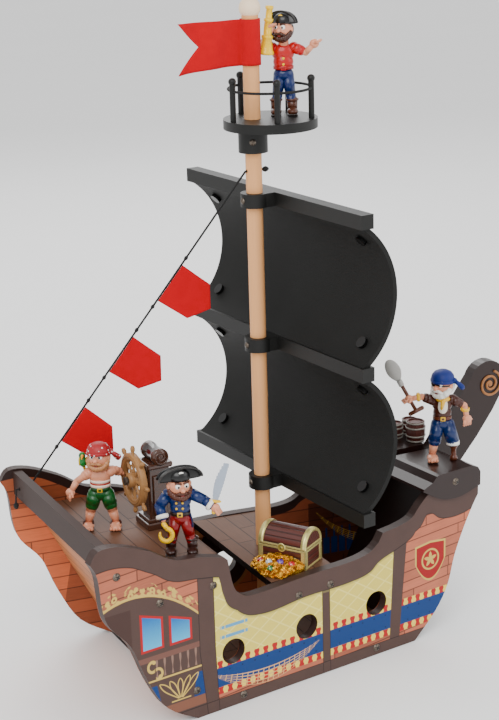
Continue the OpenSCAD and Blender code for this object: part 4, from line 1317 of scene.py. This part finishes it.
    def scarf(self, cloth):
        """A cloth tied round the head, with its knot at the side."""
        top = self.head + Vector((0, 0.4, 2.6))
        self.spun([(8.1, 0), (8.5, 0.4), (8.4, 2.0), (7.8, 4.4), (6.0, 6.6), (3.2, 7.9), (0, 8.3)], cloth,
                  located(top, (-8, 0, 0)), steps=30)
        self.spun([(7.7, -1.0), (8.7, -0.9), (8.9, 0.8), (8.2, 1.1)], cloth, located(top, (-8, 0, 0)),
                  steps=30)
        knot = top + Vector((7.8, 3.6, 0.4))
        self.ball(knot, (2.1, 1.9, 1.9), cloth, fine=12)
        for end in ((5.4, 1.0, -4.0), (4.2, 3.0, -5.6)):
            self.limb([knot, knot + Vector(end)], [1.3, 1.9], cloth, fine=10)

    def hat(self, width, badge):
        """A black hat with its brim turned up in a half moon."""
        top = self.head + Vector((0, 0.6, 4.6))
        self.ball(top + Vector((0, 0.6, 1.6)), (8.0, 7.4, 6.4), "hat", fine=20)
        for front in (-1, 1):
            made = bmesh.ops.create_uvsphere(self.mesh, u_segments=28, v_segments=16, radius=1.0)
            low = [v for v in made["verts"] if v.co.z < -0.12]
            for v in low:
                v.co.z = -0.12 - (v.co.z + 0.12) * 0.05
            shape = located(top + Vector((0, 2.2 * front + 0.4, 0.6)), (12 * front, 0, 0))
            self._settle(made["verts"], "hat", shape @ Matrix.Diagonal((width, 2.0, 8.6, 1)))
        self.tube([top + Vector((width * math.cos(a), -3.6, 0.8 + 8.2 * math.sin(a)))
                   for a in (math.pi * i / 24 for i in range(25))], 0.7, "trim")
        self.ball(top + Vector((0, -4.4, 4.4)), (2.4, 0.8, 2.2), badge)

    def look(self, turn, nod, size, drop=0.0):
        """Turns the head by degrees, with all that is on it, and makes it larger."""
        verts = [v for v in self.mesh.verts if v not in self.standing]
        about = located(self.head + Vector((0, 0, 8.0 * (1 - size) - drop)), (nod, 0, turn))
        about = about @ Matrix.Scale(size, 4) @ Matrix.Translation(-self.head)
        bmesh.ops.transform(self.mesh, matrix=about, verts=verts)


class SHIP_OT_lookout(bpy.types.Operator):
    """Sailor in the crow's nest with a spyglass"""
    bl_idname = "ship.lookout"
    bl_label = "Lookout"

    def execute(self, context):
        crew = Figure((32.5, 3.5, 485.2), 92,
            hair=(92, 56, 38), shirt=(196, 16, 28), trouser=(24, 62, 118), boot=(112, 72, 52),
            belt=(176, 16, 26), hat=(36, 34, 34), glass=(238, 206, 0), buckle=(196, 16, 28),
            knob=(236, 200, 20))
        crew.leg(-7)
        crew.leg(7)
        crew.body()
        crew.arm([(-9, 0, 56), (-17, -4, 60), (-12, -7.5, 71)])
        crew.arm([(9, 0, 56), (19, -2, 52), (25, -3, 58)])
        for z in (43, 48):
            crew.ball((0, -7.6, z), (1.2, 0.8, 1.2), "knob", fine=10)
        crew.face()
        crew.hat(11.5, "knob")
        crew.look(-24, 0, 1.1)
        crew.made("lookout_sailor", "lookout", "lookout_paint", "lookout")
        glass = crew.prop((-12, -9.5, 77), (0, 6, 0))
        glass.spun([(0, -25), (6.6, -25), (6.9, -24), (6.6, -22.6), (5.6, -21), (4.2, -12), (4.9, -11.4),
                    (4.9, -9.4), (3.5, -9), (3.3, 2), (4.0, 2.4), (4.0, 4.4), (2.8, 4.8), (2.6, 12),
                    (3.4, 12.6), (3.4, 15), (0, 15.4)], "glass")
        glass.spun([(0, -24.9), (5.6, -25.2), (5.6, -24.8)], toy_paint("lens", 60, 70, 84))
        glass.made("spyglass", "lookout", "yellow_paint", "lookout_spyglass")
        return {"FINISHED"}


class SHIP_OT_deckhand(bpy.types.Operator):
    """Sailor at the wheel with a parrot on the shoulder"""
    bl_idname = "ship.deckhand"
    bl_label = "Deckhand"

    def execute(self, context):
        crew = Figure((-149, 16, 140.2), 86,
            hair=(196, 150, 112), shirt=(236, 222, 210), trouser=(14, 112, 56), belt=(26, 104, 60),
            sash=(190, 40, 46), strap=(104, 62, 48), parrot=(20, 140, 70), beak=(238, 178, 50),
            wing=(226, 196, 40))
        crew.leg(-12, bare=True, cut=0.3)
        crew.leg(12, bare=True, cut=0.3)
        crew.body("skin")
        for low, high, wrap in ((38.6, 41.6, "shirt"), (41.6, 43, "sash"), (43, 45.4, "shirt")):
            crew.spun([(7.4, low), (9.1, low + 0.3), (9.1, high - 0.2), (7.4, high)], wrap,
                      deepened(0.84), steps=28)
        for side in (-1, 1):
            for z, tilt in ((5.4, 20), (2.8, 62)):
                ankle = located((12 * side, -1.6 - z * 0.2, z), (tilt, 0, 0)) @ deepened(1.1)
                crew.spun([(3.6, -1), (4.9, -0.7), (4.9, 0.7), (3.6, 1)], "strap", ankle, steps=18)
        crew.arm([(-9, 0, 51), (-20, -2, 44), (-25, -4, 36)], "skin", 0.16)
        crew.arm([(9, 0, 52), (14, 2, 53), (15, 6, 50)], "skin", 0.2)
        crew.face()
        crew.scarf(finish_of("dotted_scarf", dotted_finish))
        crew.look(-12, 0, 1.22)
        perch = Vector((-14, 1, 58))
        crew.ball(perch + Vector((0, 0, 3)), (3.4, 3.4, 5.0), "parrot")
        crew.ball(perch + Vector((-0.4, -1.0, 9)), (3.0, 3.2, 3.0), "parrot")
        crew.limb([perch + Vector((0, -3.6, 9.4)), perch + Vector((-0.4, -5.8, 7.4))], [1.4, 0.5], "beak",
                  fine=8)
        crew.limb([perch + Vector((0, 1.6, 0)), perch + Vector((0.6, 4.6, -7))], [1.8, 0.9], "wing", fine=8)
        for side in (-1, 1):
            crew.ball(perch + Vector((3.0 * side, 0.6, 3)), (1.1, 2.6, 4.2), "wing")
            crew.ball(perch + Vector((1.8 * side, -3.2, 9.8)), (0.8, 0.6, 0.8), "pupil", fine=8)
        crew.made("deckhand_sailor", "deckhand", "deckhand_paint", "deckhand")
        return {"FINISHED"}


class SHIP_OT_captain(bpy.types.Operator):
    """Captain in a blue coat with a hook and a sabre"""
    bl_idname = "ship.captain"
    bl_label = "Captain"

    def execute(self, context):
        crew = Figure((-112, -68, 140.2), 84,
            hair=(110, 66, 44), shirt=(18, 64, 118), trouser=(150, 16, 28), boot=(78, 48, 40),
            belt=(60, 36, 30), cuff=(238, 234, 226), hook=(240, 204, 0), hat=(34, 33, 34),
            blade=(178, 186, 198), trim=(70, 68, 66))
        crew.leg(-9)
        crew.leg(9)
        crew.body()
        crew.spun([(8.2, 0), (9.0, -3), (10.6, -9), (11.6, -15), (11.0, -15.4), (9.4, -9), (7.6, 0)], "shirt",
                  located((0, 1.2, 39), (0, 0, -30)) @ deepened(0.8), angle=math.radians(240),
                  steps=28)
        for z in (42, 47, 52):
            crew.ball((2.6, -7.6, z), (1.1, 0.8, 1.1), "buckle", fine=10)
            crew.ball((-2.6, -7.6, z), (1.1, 0.8, 1.1), "buckle", fine=10)
        for side in (-1, 1):
            crew.ball((10 * side, 0, 54), (4.6, 4.4, 1.8), "buckle")
        crew.ball((0, -7.0, 55), (3.2, 1.8, 3.6), "cuff")
        crew.arm([(-10, 0, 52), (-17, -3, 43), (-14, -8, 33)], bare_from=0.9, cuff="cuff", hand=False)
        hook = [(-13.6, -8.6, 29)]
        for i in range(17):
            a = math.radians(80 - i * 17.5)
            hook.append((-12.0 + 5.2 * math.cos(a), -9.0, 19.5 + 5.8 * math.sin(a)))
        crew.limb(hook, [2.2] + [2.1] * 13 + [1.8, 1.5, 1.2, 0.9], "hook", fine=10)
        crew.arm([(10, 0, 52), (20, -1, 47), (28, -4, 42)], bare_from=0.85, cuff="cuff")
        crew.face()
        crew.hat(15, "white")
        crew.look(22, 8, 1.26, 3.0)
        crew.made("captain_sailor", "captain", "captain_paint", "captain")
        sabre = crew.prop((29, -4, 44), (0, 10, 0))
        count, step, bend = 12, 3.0, 4.8
        steps = []
        for i in range(count):
            along = i / (count - 1)
            steps.append((bend * along ** 2, 2.2 + 1.6 * math.sin(math.pi * min(1.0, along * 1.05)),
                          4 + i * step))
        for (x0, half0, z0), (x1, half1, z1) in zip(steps, steps[1:]):
            sabre.block(((x0 + x1) / 2, 0, (z0 + z1) / 2), (half0 + half1, 1.3, step + 0.5), "blade",
                        edge=0.35)
        sabre.ball((0, 0, 3), (5.2, 2.4, 1.4), "hook")
        sabre.limb([(0, 0, -6), (0, 0, 2)], [1.5, 1.3], "boot", fine=10)
        sabre.ball((0, 0, -7), 1.9, "hook", fine=10)
        sabre.made("sabre", "captain", "sabre_plastic", "captain_sabre")
        return {"FINISHED"}


class SHIP_OT_digger(bpy.types.Operator):
    """Sailor at the bow with an eye patch, a peg leg and a spade"""
    bl_idname = "ship.digger"
    bl_label = "Digger"

    def execute(self, context):
        crew = Figure((168, -37, 158.2), 96,
            hair=(236, 234, 228), shirt=(232, 226, 214), trouser=(30, 66, 118), belt=(96, 54, 40),
            band=(236, 196, 60), peg=(120, 72, 48), spade=(184, 182, 178), grip=(120, 76, 52))
        crew.leg(-9, bare=True, cut=0.46)
        hip, knee = Vector((5, 0, crew.hip)), Vector((9.5, -1.4, crew.hip * 0.55))
        crew.limb([hip, knee], [6.4, 6.2], "trouser")
        crew.spun([(5.4, -2), (6.2, -1.6), (6.2, 1.6), (5.4, 2)], "white", located((9.8, -1.2, 17)), steps=20)
        crew.spun([(0, 0), (3.6, 0), (3.4, 3), (2.4, 4), (2.4, 10), (4.6, 15), (5.2, 17.5), (0, 18)], "peg",
                  located((10.6, -0.6, 0)), steps=18)
        crew.body("belt", "peg")
        crew.ball((0, -5.6, crew.shoulder - 6), (4.6, 3.0, 8.4), "shirt")
        crew.ball((0, -5.6, crew.shoulder + 1), (6.6, 4.0, 2.8), "band")
        crew.limb([(0, -8.4, crew.shoulder), (-1.4, -9.4, crew.shoulder - 7)], [2.4, 1.3], "band", fine=10)
        crew.arm([(-9, 0, 58), (-19, -2, 62), (-29, -4, 61)], "belt")
        crew.arm([(9, 0, 58), (20, 0, 52), (22, -3, 42)], "belt")
        for centre, turn in (((-22, -2.4, 61.8), (0, 84, 0)), ((20.6, -0.8, 49), (10, 8, 0))):
            crew.spun([(3.4, -1.6), (4.2, -1.2), (4.2, 1.2), (3.4, 1.6)], "band", located(centre, turn),
                      steps=18)
        crew.face(patch=True)
        crew.scarf(cast_finish("blue_scarf", paint(34, 66, 140), 0.5, 0.3, 0.3, 0.3))
        crew.look(-44, 6, 1.28)
        crew.made("digger_sailor", "digger", "digger_paint", "digger")
        spade = crew.prop((-31, -4, 62), (0, -28, 0))
        spade.limb([(0, 0, -13), (0, 0, 17)], [1.7, 1.7], "grip", fine=12)
        spade.limb([(-6, 0, -14.6), (6, 0, -14.6)], [2.0, 2.0], "grip", fine=12)
        spade.spun([(1.6, -2), (2.6, -1.6), (2.6, 3.4), (1.6, 4)], "spade", located((0, 0, 15)), steps=16)
        blade = bmesh.ops.create_uvsphere(spade.mesh, u_segments=24, v_segments=16, radius=1.0)
        for vert in blade["verts"]:
            square = 1.0 - 0.35 * abs(vert.co.x) if vert.co.z < 0 else 1.0
            vert.co.y = vert.co.y * 0.5 + 0.6 * vert.co.x * vert.co.x
            vert.co.z *= square
        spade._settle(blade["verts"], "spade", located((0, 0, 29)) @ Matrix.Diagonal((6.6, 2.0, 12, 1)))
        spade.made("spade", "digger", "spade_paint", "digger_spade")
        return {"FINISHED"}


# ---- The stage ----

class SHIP_OT_stage(bpy.types.Operator):
    """Set the camera, a pale floor and soft light"""
    bl_idname = "ship.stage"
    bl_label = "Stage"

    def execute(self, context):
        view = context.scene.ship_view
        self.floor()
        camera = bpy.data.cameras.new("camera")
        camera.lens, camera.sensor_width = view.lens, 36.0
        camera.clip_start, camera.clip_end = 0.05, 60.0
        eye = bpy.data.objects.new("camera", camera)
        context.scene.collection.objects.link(eye)
        az, el = view.azimuth, view.elevation
        back = Vector((math.sin(az) * math.cos(el), -math.cos(az) * math.cos(el), math.sin(el)))
        right = Vector((math.cos(az), math.sin(az), 0))
        facing = Matrix((right, back.cross(right), back)).transposed() @ Matrix.Rotation(view.roll, 3, "Z")
        eye.matrix_world = Matrix.Translation(Vector(view.place)) @ facing.to_4x4()
        context.scene.camera = eye
        self.light("key", (-1.2, -1.4, 1.9), 1.6, 44.0)
        self.light("fill", (1.6, -1.3, 1.2), 1.6, 16.0)
        self.light("back", (0.6, 1.8, 1.6), 1.4, 20.0)
        world = bpy.data.worlds.new("room")
        world.use_nodes = True
        world.node_tree.nodes["Background"].inputs["Color"].default_value = (1.0, 1.0, 1.0, 1.0)
        world.node_tree.nodes["Background"].inputs["Strength"].default_value = view.light
        context.scene.world = world
        return {"FINISHED"}

    def floor(self):
        mesh = bmesh.new()
        bmesh.ops.create_grid(mesh, x_segments=1, y_segments=1, size=14.0)
        bmesh.ops.translate(mesh, vec=(0, 0, -0.0004), verts=mesh.verts[:])
        data = bpy.data.meshes.new("floor")
        mesh.to_mesh(data)
        mesh.free()
        finish = Finish("pale_floor", Roughness=0.6)
        cloud = finish.noise(finish.place(), 0.002, 2.0)
        finish.use("Base Color", finish.shade((0.93, 0.93, 0.93), 0.98 + cloud * 0.04))
        data.materials.append(finish.material)
        floor = bpy.data.objects.new("floor", data)
        bpy.context.scene.collection.objects.link(floor)

    def light(self, name, place, size, power):
        """A square soft light that faces the ship."""
        lamp = bpy.data.lights.new(name, "AREA")
        lamp.size, lamp.energy = size, power
        stand = bpy.data.objects.new(name, lamp)
        bpy.context.scene.collection.objects.link(stand)
        stand.location = place
        stand.rotation_euler = (Vector((0, 0, 0.25)) - Vector(place)).to_track_quat("-Z", "Y").to_euler()


PIECES = (SHIP_OT_stage, SHIP_OT_finishes, SHIP_OT_screw_slots, SHIP_OT_chest,
          SHIP_OT_treasure, SHIP_OT_barrels, SHIP_OT_scrolls, SHIP_OT_helm,
          SHIP_OT_flag, SHIP_OT_pennants, SHIP_OT_lookout, SHIP_OT_deckhand,
          SHIP_OT_captain, SHIP_OT_digger)
SETTINGS = (("ship_colours", ShipColours), ("ship_sizes", ShipSizes), ("ship_view", ShipView))


class SHIP_PT_panel(bpy.types.Panel):
    """The ship's sizes, colours and pieces"""
    bl_idname = "SHIP_PT_panel"
    bl_label = "Toy Sailing Ship"
    bl_space_type = "VIEW_3D"
    bl_region_type = "UI"
    bl_category = "Ship"

    def draw(self, context):
        for name, group in SETTINGS:
            box = self.layout.box()
            for field in group.__annotations__:
                box.prop(getattr(context.scene, name), field)
        for piece in PIECES:
            self.layout.operator(piece.bl_idname)


def register():
    for name, group in SETTINGS:
        bpy.utils.register_class(group)
        setattr(bpy.types.Scene, name, bpy.props.PointerProperty(type=group))
    for piece in (*PIECES, SHIP_PT_panel):
        bpy.utils.register_class(piece)


def unregister():
    for piece in reversed((*PIECES, SHIP_PT_panel)):
        bpy.utils.unregister_class(piece)
    for name, group in reversed(SETTINGS):
        delattr(bpy.types.Scene, name)
        bpy.utils.unregister_class(group)


def main():
    """Builds every piece."""
    register()
    for piece in PIECES:
        group, name = piece.bl_idname.split(".")
        getattr(getattr(bpy.ops, group), name)()


if __name__ == "__main__":
    main()
